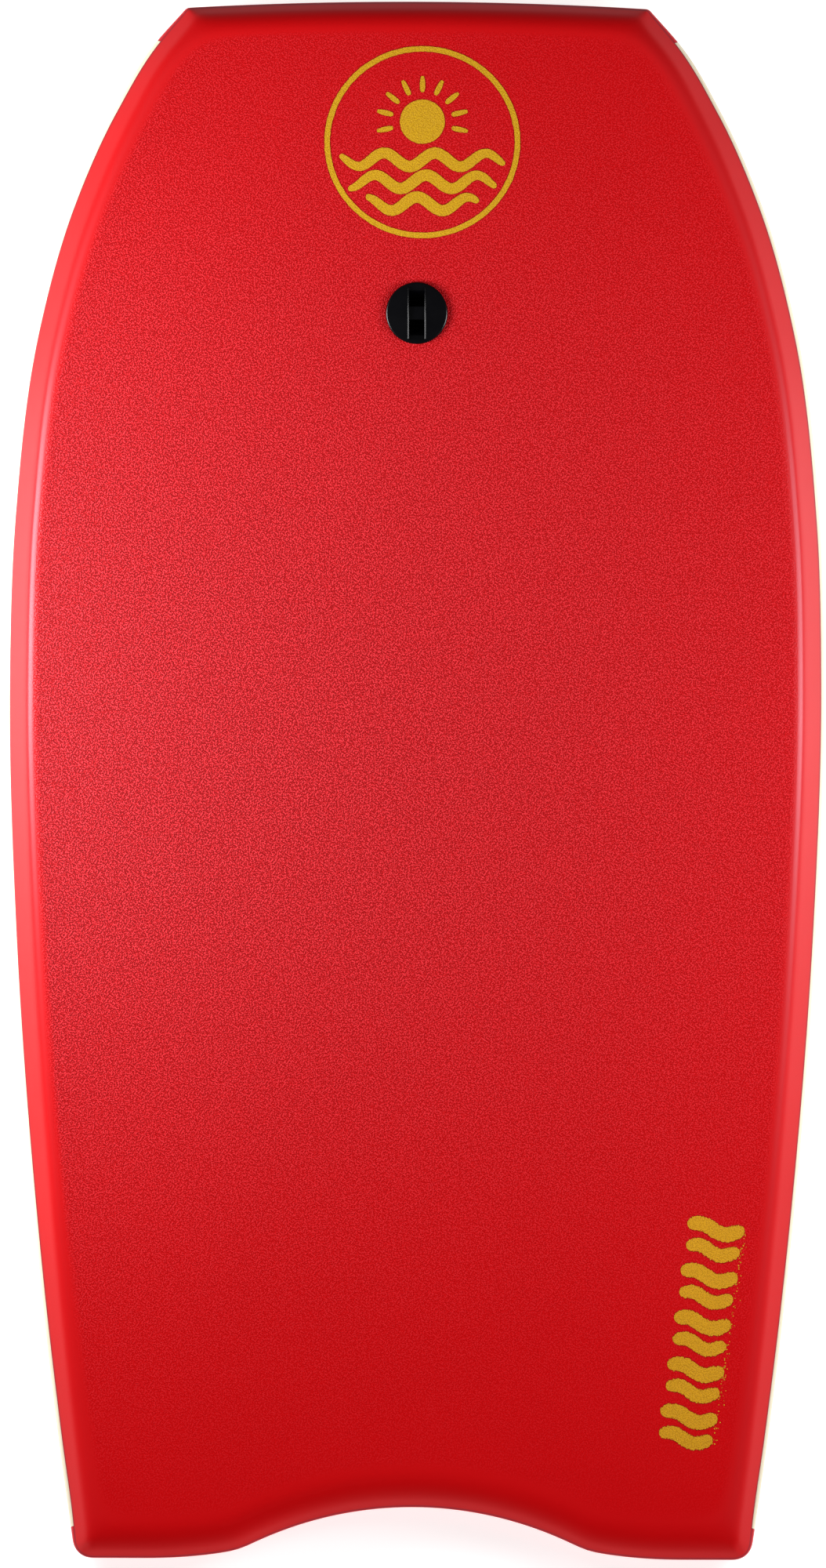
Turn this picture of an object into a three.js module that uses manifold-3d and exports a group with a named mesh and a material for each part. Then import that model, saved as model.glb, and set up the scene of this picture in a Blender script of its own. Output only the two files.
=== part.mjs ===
// A bodyboard: a foam board that is ridden lying down.
//
// A core of expanded polystyrene carries a grained foam skin on the deck, foam strips round its lower
// edge and a slick plastic sheet underneath. A two-part leash plug is screwed together through it.
//
// The board lies deck up on its slick: +Y runs to the nose, +X to the rider's right, +Z up. The origin
// is on the surface that it lies on, under the middle of its length and width. Lengths are millimetres.

import * as THREE from "three";
import { mergeVertices } from "three/addons/utils/BufferGeometryUtils.js";
import Module from "manifold-3d";

const wasm = await Module();
wasm.setup();

// ---------------------------------------------------------------- outline

const LENGTH = 1041.4; // a 41 inch board
const NOSE_Y = LENGTH / 2;
const TAIL_Y = -LENGTH / 2;

// Half the width, against the distance behind the nose, as a shaper writes it down.
const RAIL_LINE = [
  [4, 154],
  [30, 177],
  [72, 202.5],
  [134, 230.4],
  [218, 254.3],
  [344, 270.3],
  [455, 273.8],
  [617, 269.1],
  [785, 257],
  [953, 238.6],
  [LENGTH, 226],
];

const NOSE_BOW_RADIUS = 2690;

const CRESCENT_DEPTH = 34.6;
const CRESCENT_RADIUS = 246;
const LOBE_INNER_X = 116; // where the crescent runs out into a tail lobe
const LOBE_FLAT_X = 178; // where the lobe reaches the back of the board
const LOBE_RISE = 5.5;
const CRESCENT_BLEND = 2;

const NOSE_CORNER_RADIUS = 5;
const TAIL_CORNER_RADIUS = 15;
const NOSE_CORNER_CUT = 0.42; // corner to tangent point, for each mm of radius
const TAIL_CORNER_CUT = 0.87;

// ---------------------------------------------------------------- rocker, thickness and crown

const NOSE_LIFT = 32;
const NOSE_LIFT_START = 100;
const TAIL_LIFT = 5;
const TAIL_LIFT_START = -370;

// Thickness on the centreline, against y.
const THICKNESS_LINE = [
  [TAIL_Y, 46],
  [-300, 52],
  [0, 54],
  [300, 48],
  [NOSE_Y, 38],
];

const DECK_CROWN = 4;

const CHANNEL_DEPTH = 4;
const CHANNEL_INNER = 0.47; // the four corners of a channel, as shares of the half width
const CHANNEL_FLOOR_INNER = 0.53;
const CHANNEL_FLOOR_OUTER = 0.62;
const CHANNEL_OUTER = 0.68;
const CHANNEL_FRONT = -270;
const CHANNEL_REAR = -480;
const CHANNEL_RUN_OUT = 70;

// ---------------------------------------------------------------- layers and edges

const GAP = 0.3; // between neighbouring pieces
const CORE_GAP = 0.6; // round the core, whose corners need more
const SKIN = 4;
const EDGE_STRIP = 4;
const SLICK = 1.2;
const LINER = 2.5;
const LINER_BOTTOM = SLICK + GAP;
const LINER_TOP = LINER_BOTTOM + LINER;
const CORE_BOTTOM = LINER_TOP + CORE_GAP;

const SEAM = 0.55; // height of the deck skin's lower edge, as a share of the thickness

// Along the sides, against y: how far in the bevel starts, its rounding, and how far the cream strip
// stands out past the deck skin.
const BEVEL_LINE = [
  [TAIL_Y, 13],
  [-420, 14],
  [-150, 15],
  [250, 15],
  [430, 15.5],
  [NOSE_Y, 13.5],
];
const BEVEL_ROUND_LINE = [
  [TAIL_Y, 14],
  [-420, 12],
  [-150, 7.5],
  [250, 7.5],
  [430, 12],
  [NOSE_Y, 14],
];
const LIP_LINE = [
  [TAIL_Y, 0.8],
  [-497, 2.1],
  [-440, 2.4],
  [-350, 2.3],
  [340, 2.3],
  [430, 2.3],
  [497, 2.0],
  [NOSE_Y, 0.9],
];
const SIDE_TUCK = 13;

// The edge strip's lip, as [share of the lip, drop below the seam], and its turn under to the slick, as
// [share of the tuck, height above the underside].
const LIP_TURN = [
  [1, GAP / 2],
  [0.35, 1.7],
  [0, 4.5],
];
const STRIP_TURN = [
  [0.06, 12],
  [0.3, 5.6],
  [1, 0.6],
];

const NOSE_EDGE = { bevel: 9, round: 16, lip: 0.8, tuck: 10 };
const TAIL_EDGE = { bevel: 12, round: 24, lip: 0.8, tuck: 9 };

// ---------------------------------------------------------------- leash plug

const PLUG_Y = 312.5;
const PLUG_FLANGE_RADIUS = 20.7;
const PLUG_FLANGE_UNDERSIDE = -0.2;
const PLUG_FLANGE_CHAMFER = 0.4;
const PLUG_RIM = [[0, 0.3], [0, 1.1], [0.5, 2], [1.8, 2.6], [6, 2.9]]; // [in from the radius, height]
const PLUG_TOP = 3;
const PLUG_BOSS_RADIUS = 17.5;
const PLUG_BOSS_DEPTH = 5.8;
const PLUG_BARREL_RADIUS = 12.6;
const PLUG_BARREL_CHAMFER = 0.8;
const PLUG_BARREL_END = -28;
const PLUG_BAR_LENGTH = 8.6; // along the slot
const PLUG_BAR_TOP = 0.8;
const PLUG_BAR_BOTTOM = -4.2;
const PLUG_SLOT_LENGTH = 35.5;
const PLUG_SLOT_MOUTH = 11.3;
const PLUG_SLOT_WIDTH = 9.8;
const PLUG_SLOT_LIP = 0.1; // height of the mouth's upright edge
const PLUG_FLOOR_END = 2.1; // height of the slot's scooped floor at its ends
const PLUG_FLOOR_TURN = [12.9, -0.5]; // points that shape the floor: [from the middle, height]
const PLUG_FLOOR_DIP = [9.9, -8];
const PLUG_FLOOR_HEEL = [8.9, -12.5];
const PLUG_THREAD = 0.5; // height of its ridges
const PLUG_THREAD_PITCH = 4;

const SOCKET_RADIUS = 16.2;
const SOCKET_BORE = 13.9;
const SOCKET_TOP = -12;
const SOCKET_FLANGE_RADIUS = 19;
const SOCKET_FLANGE = 2.2;
const SOCKET_FLANGE_CHAMFER = 1;
const SOCKET_FLANGE_GAP = 0.7;
const SOCKET_THREAD_RUN_OUT = 2;
const COIN_SLOT = { length: 24, width: 3, depth: 1.2 };

const DECK_HOLE_RADIUS = PLUG_BOSS_RADIUS + 0.4;
const CORE_HOLE_RADIUS = SOCKET_RADIUS + 0.5;
const SEAT_RADIUS = PLUG_FLANGE_RADIUS + 0.4;
const SEAT_DEPTH = 0.5;

const ROUND_SIDES = 36;
const TOOL_REACH = 2; // how far a cutting tool reaches past the face that it cuts through

// ---------------------------------------------------------------- sampling of the board's faces

// Shares of the half width, from the centreline out, and of the length, from the tail to the nose.
const ACROSS = [0, 0.16, 0.32, 0.47, 0.53, 0.62, 0.68, 0.84, 1];
const ALONG = [0, 0.02, 0.07, 0.13, 0.19, 0.25, 0.33, 0.41, 0.5, 0.59, 0.67, 0.74, 0.8, 0.85, 0.89, 0.93,
  0.96, 0.98, 1];
const NOSE_CORNER_STEPS = 2;
const TAIL_CORNER_STEPS = 4;
const PLAN_ROUNDS = 8;
const WELD = 1e-3;
const SOLID_WELD = 1e-4;

// ---------------------------------------------------------------- curves

// A smooth line through points of [place, value].
class SmoothLine {
  constructor(points) {
    this.points = points;
    const rise = points.slice(1).map(([x, y], i) => (y - points[i][1]) / (x - points[i][0]));
    this.slopes = points.map((_, i) => {
      if (i === 0) return rise[0];
      if (i === points.length - 1) return rise[i - 1];
      const before = points[i][0] - points[i - 1][0];
      const after = points[i + 1][0] - points[i][0];
      return (rise[i - 1] * after + rise[i] * before) / (before + after);
    });
  }

  at(place) {
    const { points, slopes } = this;
    let i = points.findIndex(([x]) => x > place) - 1;
    if (i === -2) i = points.length - 2;
    i = Math.max(i, 0);
    const [x0, y0] = points[i];
    const [x1, y1] = points[i + 1];
    const span = x1 - x0;
    const t = (place - x0) / span;
    const u = 1 - t;
    return u * u * (1 + 2 * t) * y0 + t * t * (3 - 2 * t) * y1
      + u * u * t * span * slopes[i] - t * t * u * span * slopes[i + 1];
  }

  slopeAt(place) {
    const step = 0.5;
    return (this.at(place + step) - this.at(place - step)) / (2 * step);
  }
}

const railLine = new SmoothLine(RAIL_LINE);
const thicknessLine = new SmoothLine(THICKNESS_LINE);
const bevelLine = new SmoothLine(BEVEL_LINE);
const bevelRoundLine = new SmoothLine(BEVEL_ROUND_LINE);
const lipLine = new SmoothLine(LIP_LINE);

const halfWidth = (y) => railLine.at(NOSE_Y - y);
const noseEdgeY = (x) => NOSE_Y - (x * x) / (2 * NOSE_BOW_RADIUS);

// The back edge: a circular crescent that softly meets a lobe on each side.
function tailEdgeY(x) {
  const out = Math.abs(x);
  const sag = CRESCENT_RADIUS - Math.sqrt(Math.max(CRESCENT_RADIUS ** 2 - out ** 2, 0));
  const crescent = CRESCENT_DEPTH - sag;
  const toFlat = THREE.MathUtils.clamp((LOBE_FLAT_X - out) / (LOBE_FLAT_X - LOBE_INNER_X), 0, 1);
  const lobe = LOBE_RISE * toFlat ** 2;
  if (out > LOBE_FLAT_X) return TAIL_Y;
  return TAIL_Y + (crescent + lobe + Math.hypot(crescent - lobe, CRESCENT_BLEND)) / 2;
}

function bottomZ(x, y) {
  const nose = Math.max(0, (y - NOSE_LIFT_START) / (NOSE_Y - NOSE_LIFT_START));
  const tail = Math.max(0, (TAIL_LIFT_START - y) / (TAIL_LIFT_START - TAIL_Y));
  return NOSE_LIFT * nose ** 2 + TAIL_LIFT * tail ** 2 + channel(x, y);
}

// Two shallow channels near the tail, which run out smoothly at both ends.
function channel(x, y) {
  const share = Math.abs(x) / halfWidth(y);
  const rising = THREE.MathUtils.smoothstep(share, CHANNEL_INNER, CHANNEL_FLOOR_INNER);
  const falling = 1 - THREE.MathUtils.smoothstep(share, CHANNEL_FLOOR_OUTER, CHANNEL_OUTER);
  const front = THREE.MathUtils.smoothstep(CHANNEL_FRONT - y, 0, CHANNEL_RUN_OUT);
  const rear = THREE.MathUtils.smoothstep(y - CHANNEL_REAR, 0, CHANNEL_RUN_OUT);
  return CHANNEL_DEPTH * rising * falling * front * rear;
}

const rockerZ = (y) => bottomZ(0, y);
const deckZ = (x, y) => rockerZ(y) + thicknessLine.at(y) - DECK_CROWN * (x / halfWidth(y)) ** 2;

// ---------------------------------------------------------------- plan positions

// The point at share u of the length and share v of the half width, when the outline is drawn in by
// inset.side(y), inset.nose and inset.tail. Each round starts from the last one's y.
function plan(u, v, inset) {
  let x = 0;
  let y = THREE.MathUtils.lerp(TAIL_Y, NOSE_Y, u);
  for (let round = 0; round < PLAN_ROUNDS; round += 1) {
    const slope = railLine.slopeAt(NOSE_Y - y);
    x = v * (halfWidth(y) - inset.side(y) * Math.hypot(1, slope));
    const step = 1;
    const tailSlope = (tailEdgeY(x + step) - tailEdgeY(x - step)) / (2 * step);
    const back = tailEdgeY(x) + inset.tail * Math.hypot(1, tailSlope);
    y = THREE.MathUtils.lerp(back, noseEdgeY(x) - inset.nose, u);
  }
  return [x, y];
}

// A stop is a place on the outline, and stop.turn is how far round a corner it is, from the nose or
// tail edge (0) to the side (1).
function place(stop, inset) {
  const corner = plan(stop.u, stop.v, inset);
  if (stop.turn === undefined) return corner;
  const nose = stop.u === 1;
  const drawnIn = (inset.side(corner[1]) + (nose ? inset.nose : inset.tail)) / 2;
  const radius = Math.max((nose ? NOSE_CORNER_RADIUS : TAIL_CORNER_RADIUS) - drawnIn, 0);
  const cut = radius * (nose ? NOSE_CORNER_CUT : TAIL_CORNER_CUT);
  const towards = (u, v) => {
    const [x, y] = plan(u, v, inset);
    const away = new THREE.Vector2(x - corner[0], y - corner[1]).setLength(cut);
    return away.add(new THREE.Vector2(...corner));
  };
  const near = 0.02;
  const start = towards(stop.u, stop.v * (1 - near));
  const end = towards(nose ? 1 - near : near, stop.v);
  const curve = new THREE.QuadraticBezierCurve(start, new THREE.Vector2(...corner), end);
  return curve.getPoint(stop.turn).toArray();
}

// ---------------------------------------------------------------- stops round the outline

const inner = (shares) => shares.slice(1, -1);
const rightToLeft = [...inner(ACROSS).reverse(), 0, ...inner(ACROSS).map((v) => -v)];

function corner(u, v, steps, towardsSide) {
  const turns = Array.from({ length: steps + 1 }, (_, i) => i / steps);
  if (!towardsSide) turns.reverse();
  return turns.map((turn) => ({ u, v, turn }));
}

const noseStops = rightToLeft.map((v) => ({ u: 1, v }));
const tailStops = rightToLeft.map((v) => ({ u: 0, v: -v }));
const sideStops = (v, shares) => shares.map((u) => ({ u, v }));
const noseLeftCorner = corner(1, -1, NOSE_CORNER_STEPS, true);
const noseRightCorner = corner(1, 1, NOSE_CORNER_STEPS, false);
const tailLeftCorner = corner(0, -1, TAIL_CORNER_STEPS, false);
const tailRightCorner = corner(0, 1, TAIL_CORNER_STEPS, true);

// All the way round, anticlockwise seen from above, from the nose's right corner.
const OUTLINE = [
  ...noseStops,
  ...noseLeftCorner,
  ...sideStops(-1, inner(ALONG).reverse()),
  ...tailLeftCorner,
  ...tailStops,
  ...tailRightCorner,
  ...sideStops(1, inner(ALONG)),
  ...noseRightCorner,
];

// ---------------------------------------------------------------- sections of the edge

// A section is a row of nodes [inset, share, offset]: how far in from the outline, and the height as a
// share of the local thickness plus an offset.
const sideEdge = (y) => ({
  bevel: bevelLine.at(y),
  round: bevelRoundLine.at(y),
  lip: lipLine.at(y),
  tuck: SIDE_TUCK,
  thickness: thicknessLine.at(y) - DECK_CROWN,
});
const noseEdge = { ...NOSE_EDGE, thickness: thicknessLine.at(NOSE_Y) };
const tailEdge = { ...TAIL_EDGE, thickness: thicknessLine.at(TAIL_Y) };

// The deck skin's outside: the deck, a rounded turn, the bevel and the seam.
function skinOutside({ bevel, round, lip, thickness }) {
  const drop = (1 - SEAM) * thickness;
  const run = bevel - lip;
  const angle = Math.atan2(drop, run);
  const tangent = round * Math.tan(angle / 2);
  const middle = round * (1 / Math.cos(angle / 2) - 1);
  return [
    [bevel + tangent, 1, 0],
    [bevel + middle * Math.sin(angle / 2), 1, -middle * Math.cos(angle / 2)],
    [bevel - tangent * Math.cos(angle), 1, -tangent * Math.sin(angle)],
    [lip, SEAM, GAP / 2],
  ];
}

// The lower edge strip's outside, from the seam down and under to the slick.
function stripOutside({ lip, tuck }) {
  return [
    ...LIP_TURN.map(([share, drop]) => [share * lip, SEAM, -drop]),
    ...STRIP_TURN.map(([share, height]) => [share * tuck, 0, height]),
  ];
}

// The same section moved in by a depth, with its first and last node slid along level lines.
function movedIn(section, depth, thickness) {
  const flat = section.map(([inset, share, offset]) => new THREE.Vector2(inset, share * thickness + offset));
  const normals = flat.slice(1).map((point, i) => {
    const along = point.clone().sub(flat[i]).normalize();
    return new THREE.Vector2(-along.y, along.x);
  });
  return section.map(([inset, share, offset], i) => {
    const first = normals[i - 1] ?? new THREE.Vector2(0, -1);
    const second = normals[i] ?? normals[i - 1];
    if (i === section.length - 1) return [inset + depth / first.x, share, offset];
    const middle = first.clone().add(second).normalize();
    middle.multiplyScalar(depth / middle.dot(second));
    return [inset + middle.x, share, offset + middle.y];
  });
}

const skinInside = (edge) => movedIn(skinOutside(edge), SKIN, edge.thickness);

function stripInside(edge) {
  const inside = movedIn(stripOutside(edge), EDGE_STRIP, edge.thickness);
  const skinEnd = skinInside(edge).at(-1);
  inside[0] = [skinEnd[0], SEAM, -GAP / 2];
  inside[inside.length - 1] = [edge.tuck, 0, CORE_BOTTOM];
  return inside;
}

function coreOutside(edge) {
  const underSkin = movedIn(skinOutside(edge), SKIN + CORE_GAP, edge.thickness);
  const behindStrip = movedIn(stripOutside(edge), EDGE_STRIP + CORE_GAP, edge.thickness);
  return [
    ...underSkin,
    ...behindStrip.slice(1, -1),
    [edge.tuck + CORE_GAP, 0, CORE_BOTTOM + CORE_GAP],
    [edge.tuck + 3 * CORE_GAP, 0, CORE_BOTTOM],
  ];
}

const sheet = (bottom, top) => (edge) => [
  [edge.tuck + GAP, 0, top],
  [edge.tuck + GAP, 0, bottom],
];

// ---------------------------------------------------------------- meshes from sections

class Facets {
  positions = [];
  faces = [];
  seen = new Map();

  index(point) {
    const key = point.map((value) => Math.round(value / WELD)).join();
    if (!this.seen.has(key)) {
      this.seen.set(key, this.positions.length / 3);
      this.positions.push(...point);
    }
    return this.seen.get(key);
  }

  polygon(...points) {
    const [first, ...rest] = points.map((point) => this.index(point));
    for (let i = 1; i < rest.length; i += 1) {
      const [b, c] = [rest[i - 1], rest[i]];
      if (first !== b && b !== c && c !== first) this.faces.push(first, b, c);
    }
  }

  // The band between a row and the one below it, facing out of the board or into it. Its quads split
  // along the same diagonal either way, so that neighbouring layers stay parallel.
  band(upper, lower, { closed = false, outward = true } = {}) {
    const last = closed ? upper.length : upper.length - 1;
    for (let i = 0; i < last; i += 1) {
      const next = (i + 1) % upper.length;
      if (outward) this.polygon(upper[i], lower[i], lower[next], upper[next]);
      else this.polygon(upper[i], upper[next], lower[next], lower[i]);
    }
  }

  geometry() {
    const geometry = new THREE.BufferGeometry();
    geometry.setAttribute("position", new THREE.Float32BufferAttribute(this.positions, 3));
    geometry.setIndex(this.faces);
    return geometry;
  }
}

function heightAt(x, y, share, offset) {
  const bottom = bottomZ(x, y);
  return bottom + share * (deckZ(x, y) - bottom) + offset;
}

const insetOf = (section, node) => ({
  side: (y) => section(sideEdge(y))[node][0],
  nose: section(noseEdge)[node][0],
  tail: section(tailEdge)[node][0],
});

// One node of a section carried along a list of stops.
function row(section, node, stops) {
  const inset = insetOf(section, node);
  return stops.map((stop) => {
    const [x, y] = place(stop, inset);
    const side = section(sideEdge(y))[node];
    const end = section(stop.u > 0.5 ? noseEdge : tailEdge)[node];
    const onEnd = Math.abs(stop.v) < 1;
    const sideShare = stop.turn === undefined ? Number(!onEnd) : 0.5;
    const offset = THREE.MathUtils.lerp(end[2], side[2], sideShare);
    return [x, y, heightAt(x, y, side[1], offset)];
  });
}

// The broad face inside one node of a section, over the whole board.
function face(facets, section, node, up) {
  const inset = insetOf(section, node);
  const [, share, offset] = section(noseEdge)[node];
  const columns = [...ACROSS.slice(1).reverse().map((v) => -v), ...ACROSS];
  const grid = ALONG.map((u) => columns.map((v) => {
    const [x, y] = plan(u, v, inset);
    return [x, y, heightAt(x, y, share, offset)];
  }));
  const add = (first, ...rest) => facets.polygon(first, ...(up ? rest : rest.reverse()));
  const lastRow = ALONG.length - 1;
  const lastColumn = columns.length - 1;
  const cornerRow = (stops) => row(section, node, stops);
  const corners = {
    tailLeft: cornerRow(tailLeftCorner),
    tailRight: cornerRow(tailRightCorner),
    noseLeft: cornerRow(noseLeftCorner),
    noseRight: cornerRow(noseRightCorner),
  };
  for (let i = 0; i < lastRow; i += 1) {
    for (let j = 0; j < lastColumn; j += 1) {
      const [a, b, c, d] = [grid[i][j], grid[i][j + 1], grid[i + 1][j + 1], grid[i + 1][j]];
      if (i === 0 && j === 0) add(c, d, ...corners.tailLeft, b);
      else if (i === 0 && j === lastColumn - 1) add(d, a, ...corners.tailRight, c);
      else if (i === lastRow - 1 && j === 0) add(b, c, ...corners.noseLeft, a);
      else if (i === lastRow - 1 && j === lastColumn - 1) add(a, b, ...corners.noseRight, d);
      else add(a, b, c, d);
    }
  }
}

// A closed piece that spans the whole board. It has a top face, an outside section round its edge, and
// under them either a bottom face or, for a shell, an inside section and face.
function boardSolid(outside, inside) {
  const facets = new Facets();
  const rowsOf = (section) => section(noseEdge).map((_, node) => row(section, node, OUTLINE));
  const outer = rowsOf(outside);
  outer.slice(1).forEach((lower, i) => facets.band(outer[i], lower, { closed: true }));
  face(facets, outside, 0, true);
  if (inside) {
    const inner = rowsOf(inside);
    facets.band(outer.at(-1), inner.at(-1), { closed: true });
    inner.slice(1).forEach((lower, i) => facets.band(inner[i], lower, { closed: true, outward: false }));
    face(facets, inside, 0, false);
  } else {
    face(facets, outside, outer.length - 1, false);
  }
  return facets.geometry();
}

// A strip of constant build along part of the outline, closed at both ends.
function edgeStrip(stops) {
  const facets = new Facets();
  const rowsOf = (section) => section(noseEdge).map((_, node) => row(section, node, stops));
  const outer = rowsOf(stripOutside);
  const inner = rowsOf(stripInside);
  const last = outer.length - 1;
  const end = stops.length - 1;
  facets.band(inner[0], outer[0]);
  facets.band(outer[last], inner[last]);
  for (let k = 0; k < last; k += 1) {
    facets.band(outer[k], outer[k + 1]);
    facets.band(inner[k], inner[k + 1], { outward: false });
    facets.polygon(outer[k + 1][0], outer[k][0], inner[k][0], inner[k + 1][0]);
    facets.polygon(outer[k + 1][end], inner[k + 1][end], inner[k][end], outer[k][end]);
  }
  return facets.geometry();
}

// ---------------------------------------------------------------- cutting

function toSolid(geometry) {
  const bare = geometry.clone();
  bare.deleteAttribute("normal");
  bare.deleteAttribute("uv");
  const welded = mergeVertices(bare, SOLID_WELD);
  return new wasm.Manifold(new wasm.Mesh({
    numProp: 3,
    vertProperties: new Float32Array(welded.attributes.position.array),
    triVerts: new Uint32Array(welded.index.array),
  }));
}

function fromSolid(solid) {
  const mesh = solid.getMesh();
  const geometry = new THREE.BufferGeometry();
  geometry.setAttribute("position", new THREE.BufferAttribute(new Float32Array(mesh.vertProperties), 3));
  geometry.setIndex(new THREE.BufferAttribute(new Uint32Array(mesh.triVerts), 1));
  return geometry;
}

function cut(geometry, ...tools) {
  const whole = tools.reduce((solid, tool) => solid.subtract(toSolid(tool)), toSolid(geometry));
  return fromSolid(whole);
}

// ---------------------------------------------------------------- leash plug pieces

// The plug stands square to the middle of the board where it passes through.
const deckSlope = (deckZ(0, PLUG_Y + 1) - deckZ(0, PLUG_Y - 1)) / 2;
const bottomSlope = (bottomZ(0, PLUG_Y + 1) - bottomZ(0, PLUG_Y - 1)) / 2;
const plugTilt = Math.atan((deckSlope + bottomSlope) / 2);
const plugPlace = new THREE.Matrix4()
  .makeRotationX(plugTilt)
  .setPosition(0, PLUG_Y, deckZ(0, PLUG_Y));
const plugDepth = thicknessLine.at(PLUG_Y) * Math.cos(plugTilt);

// A round profile of [radius, height] points turned about the plug's axis, which is Z.
function turned(profile) {
  const points = profile.map(([radius, height]) => new THREE.Vector2(radius, height));
  return new THREE.LatheGeometry(points, ROUND_SIDES).rotateX(Math.PI / 2);
}

function roundTool(radius, low, high) {
  const tool = new THREE.CylinderGeometry(radius, radius, high - low, ROUND_SIDES);
  return tool.rotateX(Math.PI / 2).translate(0, 0, (low + high) / 2).applyMatrix4(plugPlace);
}

const throughHole = (radius) => roundTool(radius, -2 * plugDepth, plugDepth);
const flangeSeat = () => roundTool(SEAT_RADIUS, -SEAT_DEPTH, plugDepth);

// Ridges of the screw thread between two heights, as [radius, height] points going up.
function thread(radius, low, high) {
  const points = [];
  for (let z = low; z + PLUG_THREAD_PITCH <= high; z += PLUG_THREAD_PITCH) {
    points.push([radius, z]);
    points.push([radius + PLUG_THREAD, z + PLUG_THREAD_PITCH / 2]);
  }
  return points;
}

// The deck half before its slot is cut: a threaded barrel, a conical boss and a flange with a round rim.
function plugBody() {
  return turned([
    [0, PLUG_BARREL_END],
    [PLUG_BARREL_RADIUS - PLUG_BARREL_CHAMFER, PLUG_BARREL_END],
    ...thread(PLUG_BARREL_RADIUS, PLUG_BARREL_END + PLUG_BARREL_CHAMFER, SOCKET_TOP),
    [PLUG_BARREL_RADIUS, PLUG_FLANGE_UNDERSIDE - PLUG_BOSS_DEPTH],
    [PLUG_BOSS_RADIUS, PLUG_FLANGE_UNDERSIDE],
    [PLUG_FLANGE_RADIUS - PLUG_FLANGE_CHAMFER, PLUG_FLANGE_UNDERSIDE],
    ...PLUG_RIM.map(([inwards, height]) => [PLUG_FLANGE_RADIUS - inwards, height]),
    [0, PLUG_TOP],
  ]);
}

// The slot between its long walls, down to its scooped floor. The bar across it is left standing.
function slotTool() {
  const end = PLUG_SLOT_LENGTH / 2;
  const above = PLUG_TOP + TOOL_REACH;
  const bar = PLUG_BAR_LENGTH / 2;
  const [turnX, turnZ] = PLUG_FLOOR_TURN;
  const [dipX, dipZ] = PLUG_FLOOR_DIP;
  const [heelX, floorZ] = PLUG_FLOOR_HEEL;
  const outline = new THREE.Shape();
  outline.moveTo(-end, above);
  outline.lineTo(-end, PLUG_FLOOR_END);
  outline.quadraticCurveTo(-turnX, turnZ, -dipX, dipZ);
  outline.quadraticCurveTo(-heelX, floorZ, -bar, floorZ);
  outline.lineTo(bar, floorZ);
  outline.quadraticCurveTo(heelX, floorZ, dipX, dipZ);
  outline.quadraticCurveTo(turnX, turnZ, end, PLUG_FLOOR_END);
  outline.lineTo(end, above);
  const barSection = new THREE.Path();
  barSection.moveTo(-bar, PLUG_BAR_BOTTOM);
  barSection.lineTo(bar, PLUG_BAR_BOTTOM);
  barSection.lineTo(bar, PLUG_BAR_TOP);
  barSection.lineTo(-bar, PLUG_BAR_TOP);
  barSection.closePath();
  outline.holes.push(barSection);
  const tool = new THREE.ExtrudeGeometry(outline, {
    depth: PLUG_SLOT_WIDTH,
    bevelEnabled: false,
    curveSegments: 5,
  });
  return tool.translate(0, 0, -PLUG_SLOT_WIDTH / 2).rotateX(Math.PI / 2).rotateZ(Math.PI / 2);
}

// The slot's mouth, which widens towards the top.
function mouthTool() {
  const narrow = PLUG_SLOT_WIDTH / 2;
  const wide = PLUG_SLOT_MOUTH / 2;
  const outline = new THREE.Shape();
  outline.moveTo(-narrow, PLUG_BAR_TOP);
  outline.lineTo(narrow, PLUG_BAR_TOP);
  outline.lineTo(wide, PLUG_TOP - PLUG_SLOT_LIP);
  outline.lineTo(wide, PLUG_TOP + TOOL_REACH);
  outline.lineTo(-wide, PLUG_TOP + TOOL_REACH);
  outline.lineTo(-wide, PLUG_TOP - PLUG_SLOT_LIP);
  outline.closePath();
  const tool = new THREE.ExtrudeGeometry(outline, { depth: PLUG_SLOT_LENGTH, bevelEnabled: false });
  return tool.translate(0, 0, -PLUG_SLOT_LENGTH / 2).rotateX(Math.PI / 2);
}

const leashPlugTop = () => cut(plugBody(), slotTool(), mouthTool());

// The bottom half: a flange on the slick with a tall threaded socket, and a coin slot to turn it by.
function leashPlugBottom() {
  const flangeTop = -plugDepth - SOCKET_FLANGE_GAP;
  const flangeBottom = flangeTop - SOCKET_FLANGE;
  const bore = thread(SOCKET_BORE - PLUG_THREAD / 2, PLUG_BARREL_END, SOCKET_TOP).reverse();
  const body = turned([
    [0, flangeBottom],
    [SOCKET_FLANGE_RADIUS - SOCKET_FLANGE_CHAMFER, flangeBottom],
    [SOCKET_FLANGE_RADIUS, flangeBottom + SOCKET_FLANGE_CHAMFER],
    [SOCKET_FLANGE_RADIUS, flangeTop],
    [SOCKET_RADIUS, flangeTop],
    [SOCKET_RADIUS, SOCKET_TOP],
    [SOCKET_BORE, SOCKET_TOP],
    ...bore,
    [SOCKET_BORE, PLUG_BARREL_END - SOCKET_THREAD_RUN_OUT],
    [SOCKET_BORE, flangeTop],
    [0, flangeTop],
  ]);
  const coinSlot = new THREE.BoxGeometry(COIN_SLOT.length, COIN_SLOT.width, 2 * COIN_SLOT.depth);
  coinSlot.translate(0, 0, flangeBottom);
  return cut(body, coinSlot);
}

// ---------------------------------------------------------------- board pieces

const foamCore = () => cut(boardSolid(coreOutside), throughHole(CORE_HOLE_RADIUS));

function deckSkin() {
  return cut(boardSolid(skinOutside, skinInside), throughHole(DECK_HOLE_RADIUS), flangeSeat());
}

function sheetPiece(bottom, top) {
  return cut(boardSolid(sheet(bottom, top)), throughHole(CORE_HOLE_RADIUS));
}

// The strips meet at the first stop from each corner, with half a gap taken off each end.
const NOSE_JOINT = ALONG.at(-2);
const TAIL_JOINT = ALONG[1];
const HALF_GAP = GAP / 2 / LENGTH;

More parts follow.
